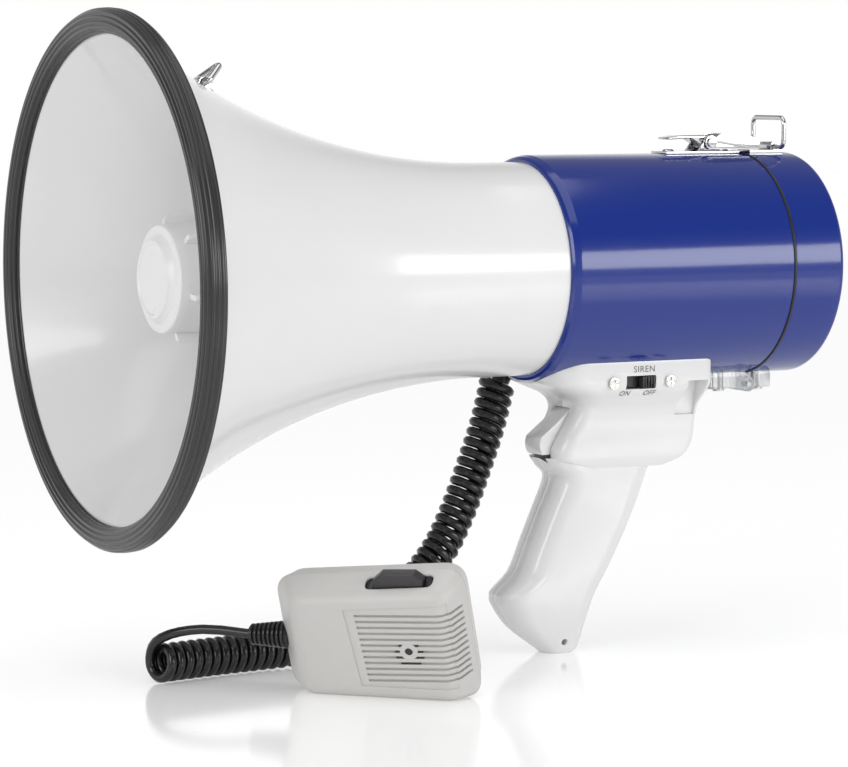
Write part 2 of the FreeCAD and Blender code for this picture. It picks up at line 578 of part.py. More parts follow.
def mic_wire(z, x0, x1, spread, corner):
    """The mic's tapered outline at depth z, grown by spread at its two long sides."""
    h0 = MIC_MID_HALF + x0 * math.tan(MIC_TAPER) + spread / math.cos(MIC_TAPER)
    h1 = MIC_MID_HALF + x1 * math.tan(MIC_TAPER) + spread / math.cos(MIC_TAPER)
    pts = [Vector(x0, -h0, z), Vector(x1, -h1, z), Vector(x1, h1, z), Vector(x0, h0, z)]
    edges = []
    ends = []
    for i, here in enumerate(pts):
        before = (pts[i - 1] - here).normalize()
        after = (pts[(i + 1) % 4] - here).normalize()
        half = before.getAngle(after) / 2
        cut = corner / math.tan(half)
        bisector = (before + after).normalize()
        ends.append((here + before * cut, here + bisector * (corner / math.sin(half) - corner),
                     here + after * cut))
    for i in range(4):
        edges.append(Part.Arc(*ends[i]).toShape())
        edges.append(Part.LineSegment(ends[i][2], ends[(i + 1) % 4][0]).toShape())
    return Part.Wire(edges)


def mic_block(inset):
    """Front and back halves of the mic's body, as two lofts that meet at the parting line."""
    grow = MIC_FRONT_DEEP * math.tan(MIC_LEAN)
    a, g = MIC_FACE_HALF, inset
    low = -MIC_FRONT_DEEP - MIC_BACK_DEEP
    edge = 1.8
    slope = edge * math.tan(MIC_LEAN)
    front = [mic_wire(-g, -a + edge + g, a - edge - g, -edge - g, 4.5),
             mic_wire(-edge - g, -a - 0.6 + g, a + 0.6 - g, slope - g, 6.0),
             mic_wire(-MIC_FRONT_DEEP, -a - 10.0 + g, a + 6.0 - g, grow - g, 9.0)]
    back = [mic_wire(-MIC_FRONT_DEEP, -a - 10.0 + g, a + 6.0 - g, grow - g, 9.0),
            mic_wire(low + 3.0 + g, -a - 8.0 + g, a + 4.0 - g, grow - 2.5 - g, 8.0),
            mic_wire(low + g, -a - 4.0 + g, a - g, grow - 6.5 - g, 6.0)]
    return Part.makeLoft(front, True, True), Part.makeLoft(back, True, True)


def build_mic():
    front, back = mic_block(0.0)
    front_in, back_in = mic_block(2.0)
    front_shell = front.cut(front_in)
    back_shell = back.cut(back_in)
    skin = front.cut(mic_block(0.9)[0])
    pitch, first = 2.77, -15.5
    slots = [first + i * pitch for i in range(12)]
    grooves = [box(-4.4, 60, y - 0.55, y + 0.55, -9.0, 2.0) for y in slots]
    front_shell = front_shell.cut(skin.common(group(grooves)))
    hole = Part.makeCylinder(1.6, 8, Vector(15.5, -1.5, -5), Z)
    front_shell = front_shell.cut(hole)
    ptt_x0, ptt_x1, ptt_z = -1.0, 28.0, -8.6
    well = Part.makeBox(ptt_x1 - ptt_x0, 30, 6.4, Vector(ptt_x0, 19.5, ptt_z - 3.2))
    front_shell = front_shell.cut(well)
    relief_hole = Part.makeCylinder(4.3, 14, Vector(-49, RELIEF_Y, -MIC_FRONT_DEEP), X)
    front_shell = front_shell.cut(relief_hole)
    back_shell = back_shell.cut(relief_hole)
    spots = ((-27.0, 13.5), (-27.0, -13.5), (27.0, 15.5), (27.0, -15.5))
    screws = []
    low = -MIC_FRONT_DEEP - MIC_BACK_DEEP
    for x, y in spots:
        stub = Part.makeCylinder(3.0, MIC_FRONT_DEEP - 1.9, Vector(x, y, -MIC_FRONT_DEEP), Z)
        front_shell = joined([front_shell, stub])
        boss = Part.makeCylinder(4.2, MIC_BACK_DEEP - 1.0, Vector(x, y, low + 1.0), Z)
        back_shell = joined([back_shell, boss])
        shank = Part.makeCylinder(1.3, 16, Vector(x, y, low + 2.0), Z)
        head = Part.makeCylinder(2.5, 1.8, Vector(x, y, low + 0.4), Z)
        screws.append(joined([shank, head]))
        front_shell = front_shell.cut(shank)
        back_shell = back_shell.cut(shank).cut(Part.makeCylinder(2.5, 3.2, Vector(x, y, low - 1.0), Z))
    button = joined([Part.makeCylinder(7.0, 1.6, Vector(2, 0, low - 5.2), Z),
                     Part.makeCylinder(3.6, 3.6, Vector(2, 0, low - 3.6), Z)])
    button = button.cut(Part.makeCylinder(1.5, 20, Vector(2, 0, low - 10), Z))
    capsule = Part.makeCylinder(4.9, 5.0, Vector(15.5, -1.5, -7.4), Z)
    board = joined([Part.makeBox(38, 24, 1.6, Vector(-16, -9, -12.0)),
                    Part.makeBox(12, 6, 6, Vector(6, 8.5, -13.0)),
                    Part.makeBox(3, 1.6, 3, Vector(10.5, 14.5, -10.5))])
    block = [(3.0, 25.0), (24.0, 25.0), (24.0, 29.2), (20.6, 32.0), (6.6, 32.0), (3.0, 29.2)]
    wire = Part.makePolygon([Vector(x, y, ptt_z - 2.7) for x, y in block + block[:1]])
    key = Part.Face(wire).extrude(Vector(0, 0, 5.4))
    keel = Part.makeBox(28.2, 4.0, 5.4, Vector(-0.6, 21.6, ptt_z - 2.7))
    ptt = joined([key, keel])
    relief = relief_solid()
    place = mic_placement()
    for name, shape in (("mic_front_shell", front_shell), ("mic_back_shell", back_shell),
                        ("mic_screws", group(screws)), ("mic_hanger", button), ("mic_capsule", capsule),
                        ("mic_board", board), ("ptt_button", ptt), ("mic_strain_relief", relief)):
        keep(name, moved(shape, place))
    PARTS["cord_tail"] = PARTS["cord_tail"].cut(PARTS["mic_strain_relief"])


def moved(shape, matrix):
    copy = shape.copy()
    copy.Placement = FreeCAD.Placement(matrix).multiply(copy.Placement)
    return copy


def relief_solid():
    """A ribbed cone round the cord, from inside the mic's end out along -X."""
    base, tip, ribs = -MIC_FACE_HALF - 10.0, RELIEF_TIP, 8
    flange = base + 8.5
    items = [(flange + 3, 0.0), (flange + 3, 6.0), (flange, 6.0), (flange, 4.25), (base, 4.25)]
    step = (base - tip) / (ribs + 0.5)
    for i in range(ribs):
        x = base - i * step
        r = 6.0 - i * 0.2
        items += [(x, r), (x - step * 0.6, r - 0.1), (x - step * 0.6, r - 0.9), (x - step, r - 0.9)]
    items += [(tip, 3.8), (tip, 0.0)]
    flat = face(items)
    flat.translate(Vector(0, RELIEF_Y, -MIC_FRONT_DEEP))
    return flat.revolve(Vector(0, RELIEF_Y, -MIC_FRONT_DEEP), X, 360)


def main():
    os.makedirs("parts", exist_ok=True)
    build_horn()
    build_driver()
    build_housing()
    build_rear_cap()
    build_hinge()
    build_latch()
    build_front_ring()
    build_handle()
    build_trigger()
    build_electronics()
    build_cord()
    build_mic()
    for name, shape in PARTS.items():
        if not shape.isValid():
            print("NOT VALID", name)
        shape.exportStep("parts/%s.step" % name)
        b = shape.BoundBox
        print("%-22s solids %2d vol %9.1f  x %.1f %.1f  y %.1f %.1f  z %.1f %.1f" % (
            name, len(shape.Solids), shape.Volume, b.XMin, b.XMax, b.YMin, b.YMax, b.ZMin, b.ZMax))
    print(len(PARTS), "nodes")


main()
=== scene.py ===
# %% [markdown]
# # A hand-held megaphone, piece by piece
# The megaphone is a white reflex horn on a pistol grip, with a blue battery housing behind it and
# a fist microphone on a curly cord in front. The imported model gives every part's place and size.
# This lesson makes the surfaces that the eye sees: moulded plastic, rubber, chrome and cord.

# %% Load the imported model
import json
import math

import bmesh
import bpy
from mathutils import Matrix, Vector


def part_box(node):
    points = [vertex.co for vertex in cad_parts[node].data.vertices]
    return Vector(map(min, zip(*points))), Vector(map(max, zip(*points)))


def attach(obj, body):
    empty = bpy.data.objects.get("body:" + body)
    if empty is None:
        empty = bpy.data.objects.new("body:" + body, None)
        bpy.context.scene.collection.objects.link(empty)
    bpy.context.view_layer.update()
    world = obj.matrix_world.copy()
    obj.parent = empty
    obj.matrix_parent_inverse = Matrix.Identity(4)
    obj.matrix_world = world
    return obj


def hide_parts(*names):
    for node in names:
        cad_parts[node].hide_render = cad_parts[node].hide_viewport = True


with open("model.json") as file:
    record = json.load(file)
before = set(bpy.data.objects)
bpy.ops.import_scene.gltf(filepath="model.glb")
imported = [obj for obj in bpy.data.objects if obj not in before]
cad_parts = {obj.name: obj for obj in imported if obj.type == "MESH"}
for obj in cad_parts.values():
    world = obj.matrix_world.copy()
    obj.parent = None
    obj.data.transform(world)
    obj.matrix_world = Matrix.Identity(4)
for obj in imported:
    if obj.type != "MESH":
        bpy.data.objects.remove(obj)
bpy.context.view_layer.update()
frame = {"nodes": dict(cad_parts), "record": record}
nodes = frame["nodes"]
MM = 0.001

# %% [markdown]
# ## Where the horn lies
# Nearly every large part is turned about the horn's axis, so the axis height is the first thing to
# know. The rear housing is a plain tube round that axis, so the middle of its box gives it.

# %% The horn's axis and the main stations along it
housing_low, housing_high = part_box("rear_housing")
cap_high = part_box("rear_cap")[1]
rim_low, rim_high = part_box("rim_bumper")
AXIS = (housing_low.z + housing_high.z) / 2 / MM
RIM_X = (rim_low.x + rim_high.x) / 2 / MM
SEAM_X = housing_high.x / MM
REAR_X = cap_high.x / MM
HOUSING_R = (housing_high.z - housing_low.z) / 2 / MM
print("axis height %.1f mm, housing radius %.1f mm" % (AXIS, HOUSING_R))

# %% [markdown]
# ## The camera
# A long lens from a little to the left of the panel's side, and just above the horn's axis, gives
# the calm, nearly parallel look of a catalogue picture. The camera looks along one line at a point
# on the horn, so its place is that point plus a distance along the line.

# %% Camera
CAMERA_AZIMUTH = math.radians(-27.34)
CAMERA_HEIGHT = math.radians(5.05)
CAMERA_DISTANCE = 1.591
aim = Vector((RIM_X + 149.9, 0.0, AXIS - 49.5)) * MM
back = Vector((math.sin(CAMERA_AZIMUTH) * math.cos(CAMERA_HEIGHT),
               -math.cos(CAMERA_AZIMUTH) * math.cos(CAMERA_HEIGHT),
               math.sin(CAMERA_HEIGHT)))
camera_data = bpy.data.cameras.new("camera")
camera_data.lens = 152.8
camera_data.sensor_width = 36.0
camera = bpy.data.objects.new("camera", camera_data)
camera.location = aim + back * CAMERA_DISTANCE
camera.rotation_mode = "QUATERNION"
camera.rotation_quaternion = (-back).to_track_quat("-Z", "Y")
bpy.context.scene.collection.objects.link(camera)
bpy.context.scene.camera = camera
print("camera at", [round(v, 3) for v in camera.location])

# %% [markdown]
# ## Helpers for meshes
# A piece starts as a bmesh. One helper turns it into an object at the origin, with smooth shading
# that keeps its hard edges, and says which body it rides on and which parts it stands for.

# %% Turning a bmesh into a piece
HARD = math.radians(35)


def object_from(name, bm, hard=HARD):
    mesh = bpy.data.meshes.new(name)
    bm.to_mesh(mesh)
    bm.free()
    mesh.shade_smooth()
    mesh.set_sharp_from_angle(angle=hard)
    obj = bpy.data.objects.new(name, mesh)
    bpy.context.scene.collection.objects.link(obj)
    return obj


def mount(obj, body, material, slot, *replaced):
    obj.data.materials.clear()
    obj.data.materials.append(material)
    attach(obj, body)
    if replaced:
        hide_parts(*replaced)
    return obj


def baked(obj):
    """The object with its modifiers applied, as a plain mesh at the origin."""
    graph = bpy.context.evaluated_depsgraph_get()
    mesh = bpy.data.meshes.new_from_object(obj.evaluated_get(graph))
    old = obj.data
    obj.modifiers.clear()
    if obj.type == "CURVE" or obj.type == "FONT":
        fresh = bpy.data.objects.new(obj.name + "_mesh", mesh)
        bpy.context.scene.collection.objects.link(fresh)
        bpy.data.objects.remove(obj)
        return fresh
    obj.data = mesh
    bpy.data.meshes.remove(old)
    return obj


# %% [markdown]
# ## Finishes as node groups
# Moulded plastic is never one flat colour: it clouds a little, its gloss varies, and the mould
# leaves a fine grain. One node group makes that from noise on Object coordinates, so every plastic
# and rubber part shares it with its own values. A second group gives metal its drawn scratches.

# %% The moulded surface and the drawn metal surface, as groups
def node_group(name, inputs, outputs):
    tree = bpy.data.node_groups.new(name, "ShaderNodeTree")
    for label, kind, value in inputs:
        socket = tree.interface.new_socket(label, in_out="INPUT", socket_type="NodeSocket" + kind)
        if value is not None:
            socket.default_value = value
    for label, kind in outputs:
        tree.interface.new_socket(label, in_out="OUTPUT", socket_type="NodeSocket" + kind)
    return tree, tree.nodes.new("NodeGroupInput"), tree.nodes.new("NodeGroupOutput")


def noise(tree, vector, scale, detail=2.0):
    node = tree.nodes.new("ShaderNodeTexNoise")
    node.inputs["Detail"].default_value = detail
    tree.links.new(vector, node.inputs["Vector"])
    if isinstance(scale, (int, float)):
        node.inputs["Scale"].default_value = scale
    else:
        tree.links.new(scale, node.inputs["Scale"])
    return node.outputs["Fac"]


def spread(tree, value, amount, centre):
    """centre * (1 + amount * (value - 0.5)), with every part a socket or a number."""
    lift = tree.nodes.new("ShaderNodeMath")
    lift.operation = "SUBTRACT"
    tree.links.new(value, lift.inputs[0])
    lift.inputs[1].default_value = 0.5
    share = tree.nodes.new("ShaderNodeMath")
    share.operation = "MULTIPLY_ADD"
    tree.links.new(lift.outputs[0], share.inputs[0])
    tree.links.new(amount, share.inputs[1])
    share.inputs[2].default_value = 1.0
    total = tree.nodes.new("ShaderNodeMath")
    total.operation = "MULTIPLY"
    tree.links.new(share.outputs[0], total.inputs[0])
    tree.links.new(centre, total.inputs[1])
    return total.outputs[0]


def build_moulded():
    tree, start, end = node_group(
        "moulded surface",
        [("Vector", "Vector", None), ("Color", "Color", (0.8, 0.8, 0.8, 1.0)), ("Roughness", "Float", 0.3),
         ("Clouding", "Float", 0.06), ("Gloss change", "Float", 0.5), ("Grain scale", "Float", 900.0)],
        [("Color", "Color"), ("Roughness", "Float"), ("Height", "Float")])
    vector = start.outputs["Vector"]
    one = tree.nodes.new("ShaderNodeValue")
    one.outputs[0].default_value = 1.0
    clouds = spread(tree, noise(tree, vector, 22.0, 4.0), start.outputs["Clouding"], one.outputs[0])
    shade = tree.nodes.new("ShaderNodeHueSaturation")
    tree.links.new(start.outputs["Color"], shade.inputs["Color"])
    tree.links.new(clouds, shade.inputs["Value"])
    gloss = spread(tree, noise(tree, vector, 55.0, 3.0), start.outputs["Gloss change"],
                   start.outputs["Roughness"])
    tree.links.new(shade.outputs["Color"], end.inputs["Color"])
    tree.links.new(gloss, end.inputs["Roughness"])
    tree.links.new(noise(tree, vector, start.outputs["Grain scale"], 2.0), end.inputs["Height"])
    return tree


def build_drawn():
    tree, start, end = node_group(
        "drawn metal surface",
        [("Vector", "Vector", None), ("Roughness", "Float", 0.2), ("Scratching", "Float", 0.8)],
        [("Roughness", "Float"), ("Height", "Float")])
    stretch = tree.nodes.new("ShaderNodeMapping")
    stretch.inputs["Scale"].default_value = (60.0, 900.0, 900.0)
    tree.links.new(start.outputs["Vector"], stretch.inputs["Vector"])
    lines = noise(tree, stretch.outputs["Vector"], 1.0, 3.0)
    marks = spread(tree, lines, start.outputs["Scratching"], start.outputs["Roughness"])
    tree.links.new(marks, end.inputs["Roughness"])
    tree.links.new(lines, end.inputs["Height"])
    return tree


MOULDED = build_moulded()
DRAWN = build_drawn()
print("node groups:", MOULDED.name, "and", DRAWN.name)


# %% [markdown]
# Each material is a Principled shader fed by one of the two groups. The dictionary is keyed by the
# material slot's name in the record, so any part can look its own finish up.

# %% Materials made with the groups
def blank(name):
    material = bpy.data.materials.new(name)
    material.use_nodes = True
    tree = material.node_tree
    shader = tree.nodes["Principled BSDF"]
    place = tree.nodes.new("ShaderNodeTexCoord")
    return material, tree, shader, place.outputs["Object"]


def bump(tree, shader, height, depth, strength=0.4):
    node = tree.nodes.new("ShaderNodeBump")
    node.inputs["Strength"].default_value = strength
    node.inputs["Distance"].default_value = depth
    tree.links.new(height, node.inputs["Height"])
    tree.links.new(node.outputs["Normal"], shader.inputs["Normal"])


def moulded(name, color, roughness, grain=900.0, depth=0.00003, clouding=0.06, gloss_change=0.5, coat=0.0,
            clear=0.0, specular=0.5):
    material, tree, shader, vector = blank(name)
    group = tree.nodes.new("ShaderNodeGroup")
    group.node_tree = MOULDED
    tree.links.new(vector, group.inputs["Vector"])
    group.inputs["Color"].default_value = (*color, 1.0)
    group.inputs["Roughness"].default_value = roughness
    group.inputs["Clouding"].default_value = clouding
    group.inputs["Gloss change"].default_value = gloss_change
    group.inputs["Grain scale"].default_value = grain
    tree.links.new(group.outputs["Color"], shader.inputs["Base Color"])
    tree.links.new(group.outputs["Roughness"], shader.inputs["Roughness"])
    bump(tree, shader, group.outputs["Height"], depth)
    shader.inputs["Coat Weight"].default_value = coat
    shader.inputs["Coat Roughness"].default_value = 0.08
    shader.inputs["Transmission Weight"].default_value = clear
    shader.inputs["Specular IOR Level"].default_value = specular
    return material


def drawn(name, color, roughness, scratching=0.8, depth=0.00002):
    material, tree, shader, vector = blank(name)
    group = tree.nodes.new("ShaderNodeGroup")
    group.node_tree = DRAWN
    tree.links.new(vector, group.inputs["Vector"])
    group.inputs["Roughness"].default_value = roughness
    group.inputs["Scratching"].default_value = scratching
    shader.inputs["Base Color"].default_value = (*color, 1.0)
    shader.inputs["Metallic"].default_value = 1.0
    tree.links.new(group.outputs["Roughness"], shader.inputs["Roughness"])
    bump(tree, shader, group.outputs["Height"], depth, 0.25)
    return material


FINISH = {
    "bell_white": moulded("gloss white plastic", (0.78, 0.78, 0.78), 0.2, 350.0, 0.00002, 0.03, coat=0.35),
    "rim_rubber": moulded("charcoal rim rubber", (0.028, 0.026, 0.028), 0.24, 1500.0, 0.00004, 0.25),
    "reflector_white": moulded("white reflector plastic", (0.82, 0.82, 0.82), 0.3, 500.0, 0.00002, 0.03),
    "housing_blue": moulded("royal blue plastic", (0.006, 0.025, 0.22), 0.14, 300.0, 0.00003, 0.1, coat=0.25),
    "gasket_black": moulded("black gasket rubber", (0.008, 0.008, 0.009), 0.4, 1800.0, 0.00006, 0.3),
    "inner_black": moulded("black inner plastic and painted opening shade", (0.02, 0.02, 0.022), 0.4, 1300.0, 0.00005, 0.3),
    "magnet_grey": moulded("pressed magnet ferrite", (0.05, 0.05, 0.055), 0.7, 1500.0, 0.0001, 0.3),
    "diaphragm_film": moulded("varnished diaphragm", (0.35, 0.2, 0.07), 0.35, 700.0, 0.00005, 0.2),
    "cell_metal": moulded("printed cell wrap", (0.03, 0.035, 0.05), 0.3, 900.0, 0.00002, 0.3, coat=0.3),
    "foam": moulded("grey foam", (0.05, 0.05, 0.055), 0.95, 700.0, 0.0006, 0.5),
    "hinge_clear": moulded("clear hinge plastic", (0.93, 0.95, 0.96), 0.12, 260.0, 0.00004, 0.03, clear=0.75),
    "board_green": moulded("green circuit board", (0.02, 0.13, 0.05), 0.35, 1200.0, 0.00003, 0.3),
    "cord_black": moulded("black cord jacket", (0.01, 0.0095, 0.01), 0.22, 1400.0, 0.00004, 0.3),
    "mic_grey": moulded("warm grey plastic", (0.56, 0.55, 0.535), 0.4, 1900.0, 0.00008, 0.04),
    "mic_button": moulded("black talk key", (0.035, 0.032, 0.036), 0.35, 1600.0, 0.00006, 0.25),
    "chrome": drawn("bright chrome plate", (0.6, 0.6, 0.61), 0.09),
    "steel": drawn("nickelled steel", (0.62, 0.6, 0.57), 0.22),
    "copper": drawn("wound copper", (0.85, 0.42, 0.22), 0.3),
    "aluminium_raw": drawn("raw aluminium", (0.75, 0.75, 0.76), 0.35),
}
print(len(FINISH), "finishes")

# %% [markdown]
# ## The parts that are right as they are
# The driver, the cells, the board and the small pins are plain turned or cut parts. They keep the
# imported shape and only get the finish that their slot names.

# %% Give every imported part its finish
for entry in frame["record"]["subparts"]:
    part = nodes[entry["node"]]
    part.data.materials.clear()
    part.data.materials.append(FINISH[entry["material_slot"]])

# %% [markdown]
# ## Floor, world and lights
# A white sweep of floor under wide soft lights gives the pale background. Large lights matter most
# for gloss and chrome, because the surface shows the light's own shape.

# %% Floor
FLOOR_HALF = 6.0
bm = bmesh.new()
bmesh.ops.create_grid(bm, x_segments=1, y_segments=1, size=FLOOR_HALF)
floor = object_from("floor", bm)
floor_material, tree, shader, vector = blank("pale floor")
shader.inputs["Base Color"].default_value = (0.94, 0.94, 0.94, 1.0)
shader.inputs["Roughness"].default_value = 0.12
shader.inputs["Emission Color"].default_value = (1.0, 1.0, 1.0, 1.0)
shader.inputs["Emission Strength"].default_value = 0.2
floor.data.materials.append(floor_material)
print("floor laid")

# %% [markdown]
# Three lights do the work: a wide one overhead, one at the left for the cord and rim, and a low
# strip whose long reflection runs along the housing.

# %% Lights
def soft_light(name, place, target, size, power, tall=None):
    data = bpy.data.lights.new(name, "AREA")
    data.shape = "RECTANGLE"
    data.size = size
    data.size_y = tall or size
    data.energy = power
    light = bpy.data.objects.new(name, data)
    light.location = place
    light.rotation_mode = "QUATERNION"
    light.rotation_quaternion = (Vector(target) - Vector(place)).to_track_quat("-Z", "Y")
    bpy.context.scene.collection.objects.link(light)
    return light


soft_light("top softbox", (-0.1, -0.3, 1.5), (-0.05, 0, 0.15), 1.6, 10)
soft_light("left softbox", (-1.5, -0.7, 0.7), (-0.1, 0, 0.15), 0.8, 8)
soft_light("front strip", (0.78, -1.5, 0.43), (0.05, 0, 0.17), 1.5, 11, 0.45)

# %% [markdown]
# A metal part is only as lively as what it mirrors, so the world isn't one flat white.

# %% World: bright behind the object, dimmer overhead and in front, for metal to mirror
world = bpy.data.worlds.new("studio")
bpy.context.scene.world = world
world.use_nodes = True
sky = world.node_tree
sky_place = sky.nodes.new("ShaderNodeTexCoord")
sky_split = sky.nodes.new("ShaderNodeSeparateXYZ")
sky.links.new(sky_place.outputs["Generated"], sky_split.inputs["Vector"])


def fade(channel, low, high, at_low, at_high):
    node = sky.nodes.new("ShaderNodeMapRange")
    node.inputs["From Min"].default_value = low
    node.inputs["From Max"].default_value = high
    node.inputs["To Min"].default_value = at_low
    node.inputs["To Max"].default_value = at_high
    sky.links.new(sky_split.outputs[channel], node.inputs["Value"])
    return node.outputs["Result"]


sky_both = sky.nodes.new("ShaderNodeMath")
sky_both.operation = "MULTIPLY"
sky.links.new(fade("Z", 0.2, 0.5, 1.0, 0.3), sky_both.inputs[0])
sky.links.new(fade("Y", -0.3, 0.3, 0.6, 1.0), sky_both.inputs[1])
sky.links.new(sky_both.outputs[0], sky.nodes["Background"].inputs["Strength"])
sky.nodes["Background"].inputs["Color"].default_value = (1.0, 1.0, 1.0, 1.0)
bpy.context.scene.view_settings.view_transform = "Standard"
print("stage set")

# %% [markdown]
# ## Outlines and turned pieces
# A corner list with a radius at each corner makes most of the sections here. Every real moulded
# edge is a little round, and the round is what catches the light, so even a flat plate gets one.

# %% Rounded outlines and turned pieces
def rounded(corners, closed=False, steps=5):
    """A 2-D line through (a, b, radius) corners, with each corner turned into a short arc."""
    line = []
    count = len(corners)
    for i, (a, b, radius) in enumerate(corners):
        here = Vector((a, b))
        if radius == 0 or (not closed and i in (0, count - 1)):
            line.append(here)
            continue
        before = Vector(corners[i - 1][:2]) - here
        after = Vector(corners[(i + 1) % count][:2]) - here
        half = before.angle(after) / 2
        cut = min(radius / math.tan(half), 0.49 * before.length, 0.49 * after.length)
        start, end = here + before.normalized() * cut, here + after.normalized() * cut
        for k in range(steps + 1):
            t = k / steps
            line.append(start * (1 - t) ** 2 + here * 2 * t * (1 - t) + end * t ** 2)
    return line


def lathe(name, line, steps=144, closed=False):
    """Spins a line of (x, radius) points about the horn's axis."""
    bm = bmesh.new()
    verts = [bm.verts.new(Vector((x, 0, r)) * MM) for x, r in line]
    edges = [bm.edges.new(pair) for pair in zip(verts, verts[1:])]
    if closed:
        edges.append(bm.edges.new((verts[-1], verts[0])))
    bmesh.ops.spin(bm, geom=verts + edges, axis=(1, 0, 0), cent=(0, 0, 0), angle=2 * math.pi,
                   steps=steps, use_merge=True)
    bmesh.ops.remove_doubles(bm, verts=bm.verts[:], dist=1e-6)
    bmesh.ops.recalc_face_normals(bm, faces=bm.faces[:])
    bmesh.ops.translate(bm, vec=Vector((0, 0, AXIS)) * MM, verts=bm.verts[:])
    return object_from(name, bm)


print("outlines and lathe ready")

# %% [markdown]
# Plates, lofts, boxes and rods come back as a bmesh, because most of them are cutters or are placed
# before they become objects.

# %% Plates, lofts, boxes and rods
def plate_mesh(line, low, high):
    """A closed (x, z) outline, extruded along Y from low to high."""
    bm = bmesh.new()
    face = bm.faces.new([bm.verts.new(Vector((p[0], low, p[1])) * MM) for p in line])
    grown = bmesh.ops.extrude_face_region(bm, geom=[face])
    moved = [g for g in grown["geom"] if isinstance(g, bmesh.types.BMVert)]
    bmesh.ops.translate(bm, vec=Vector((0, high - low, 0)) * MM, verts=moved)
    bmesh.ops.recalc_face_normals(bm, faces=bm.faces[:])
    return bm


def loft_mesh(rings):
    """Rings with the same number of points each, joined into one closed skin."""
    bm = bmesh.new()
    layers = [[bm.verts.new(Vector(p) * MM) for p in ring] for ring in rings]
    for low, high in zip(layers, layers[1:]):
        for i in range(len(low)):
            j = (i + 1) % len(low)
            bm.faces.new((low[i], low[j], high[j], high[i]))
    bm.faces.new(layers[0][::-1])
    bm.faces.new(layers[-1])
    bmesh.ops.recalc_face_normals(bm, faces=bm.faces[:])
    return bm


def box_mesh(bm, low, high):
    """Adds a box between two corners, in mm, to a bmesh."""
    low, high = Vector(low) * MM, Vector(high) * MM
    size = high - low
    place = Matrix.Translation((low + high) / 2) @ Matrix.Diagonal((*size, 1.0))
    return bmesh.ops.create_cube(bm, size=1.0, matrix=place)


def rod_mesh(bm, start, end, radius, sides=32):
    """Adds a closed cylinder between two points, in mm, to a bmesh."""
    start, end = Vector(start) * MM, Vector(end) * MM
    along = end - start
    turn = along.to_track_quat("Z", "Y").to_matrix().to_4x4()
    return bmesh.ops.create_cone(bm, cap_ends=True, segments=sides, radius1=radius * MM,
                                 radius2=radius * MM, depth=along.length,
                                 matrix=Matrix.Translation((start + end) / 2) @ turn)


print("plates, lofts, boxes and rods ready")

# %% [markdown]
# Cutting and softening are modifiers that are applied at once, so every piece stays a plain mesh.
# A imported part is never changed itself: a merged copy of it is softened.

# %% Cutting, softening and copying
def carve(obj, cutter, operation="DIFFERENCE"):
    """Cuts obj with another object, which is then gone."""
    step = obj.modifiers.new("carve", "BOOLEAN")
    step.object = cutter
    step.operation = operation
    step.solver = "EXACT"
    baked(obj)
    bpy.data.objects.remove(cutter)
    return obj


def soften(obj, width, angle=40.0, segments=3):
    """A small round on every edge sharper than angle."""
    step = obj.modifiers.new("soften", "BEVEL")
    step.width = width * MM
    step.segments = segments
    step.limit_method = "ANGLE"
    step.angle_limit = math.radians(angle)
    step.use_clamp_overlap = True
    step.harden_normals = False
    baked(obj)
    obj.data.shade_smooth()
    obj.data.set_sharp_from_angle(angle=HARD)
    return obj


def copy_of(name, *sources):
    """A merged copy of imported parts, with flat faces made whole again."""
    bm = bmesh.new()
    for source in sources:
        bm.from_mesh(nodes[source].data)
    bmesh.ops.remove_doubles(bm, verts=bm.verts[:], dist=2e-6)
    bmesh.ops.dissolve_limit(bm, angle_limit=math.radians(1.5), verts=bm.verts[:], edges=bm.edges[:])
    return object_from(name, bm)


print("cutting and softening ready")

# %% [markdown]
# ## The horn
# The bell is a straight tube that opens in one long arc into a plain cone. The rubber bumper grips
# its edge, and fine ribs run round the whole bumper, so its section is a rounded square with small
# scallops. The reflector faces the listener and throws the sound back into the bell.

# %% Bell
BELL_MOUTH_R = 106.0
BELL_TUBE_R = 47.7
BELL_SLOPE = math.radians(31.4)
BELL_BEND_R = 285.0
BELL_WALL = 2.5


def bell_line(wall):
    flare_long = (BELL_MOUTH_R - BELL_TUBE_R) / math.tan(BELL_SLOPE)
    bend_x = RIM_X + flare_long + BELL_BEND_R * math.tan(BELL_SLOPE / 2)
    reach = BELL_BEND_R + wall
    line = [(RIM_X, BELL_MOUTH_R - wall / math.cos(BELL_SLOPE))]
    for k in range(33):
        a = BELL_SLOPE * (1 - k / 32)
        line.append((bend_x - reach * math.sin(a), BELL_TUBE_R + BELL_BEND_R - reach * math.cos(a)))
    line.append((1.0, BELL_TUBE_R - wall))
    return line


bell = lathe("bell", bell_line(0.0) + bell_line(BELL_WALL)[::-1], steps=192, closed=True)
mount(bell, "megaphone", FINISH["bell_white"], "bell_white", "horn_bell")
print("bell:", len(bell.data.vertices), "vertices")

# %% [markdown]
# The bumper's section is a superellipse, and the ribs are one wave added round it. The wave's sharp
# valleys make the dark lines that run round the rim.

# %% Rubber bumper, with its ribs
RIM_MIDDLE_R = 109.4
RIM_HALF_DEEP = 5.0
RIM_HALF_TALL = 5.5
RIM_RIBS = 14
RIB_TALL = 0.85
section = []
for k in range(RIM_RIBS * 7):
    a = 2 * math.pi * (k + 0.5) / (RIM_RIBS * 7)
    square = (abs(math.cos(a)) ** 3 + abs(math.sin(a)) ** 3) ** (-1 / 3)
    rib = RIB_TALL * (abs(math.sin(RIM_RIBS * a / 2)) ** 0.7 - 1.0)
    section.append((RIM_X + (RIM_HALF_DEEP * square + rib) * math.cos(a),
                    RIM_MIDDLE_R + (RIM_HALF_TALL * square + rib) * math.sin(a)))
rim = lathe("rim", section, steps=192, closed=True)
mount(rim, "megaphone", FINISH["rim_rubber"], "rim_rubber", "rim_bumper")
print("rim:", len(rim.data.vertices), "vertices")

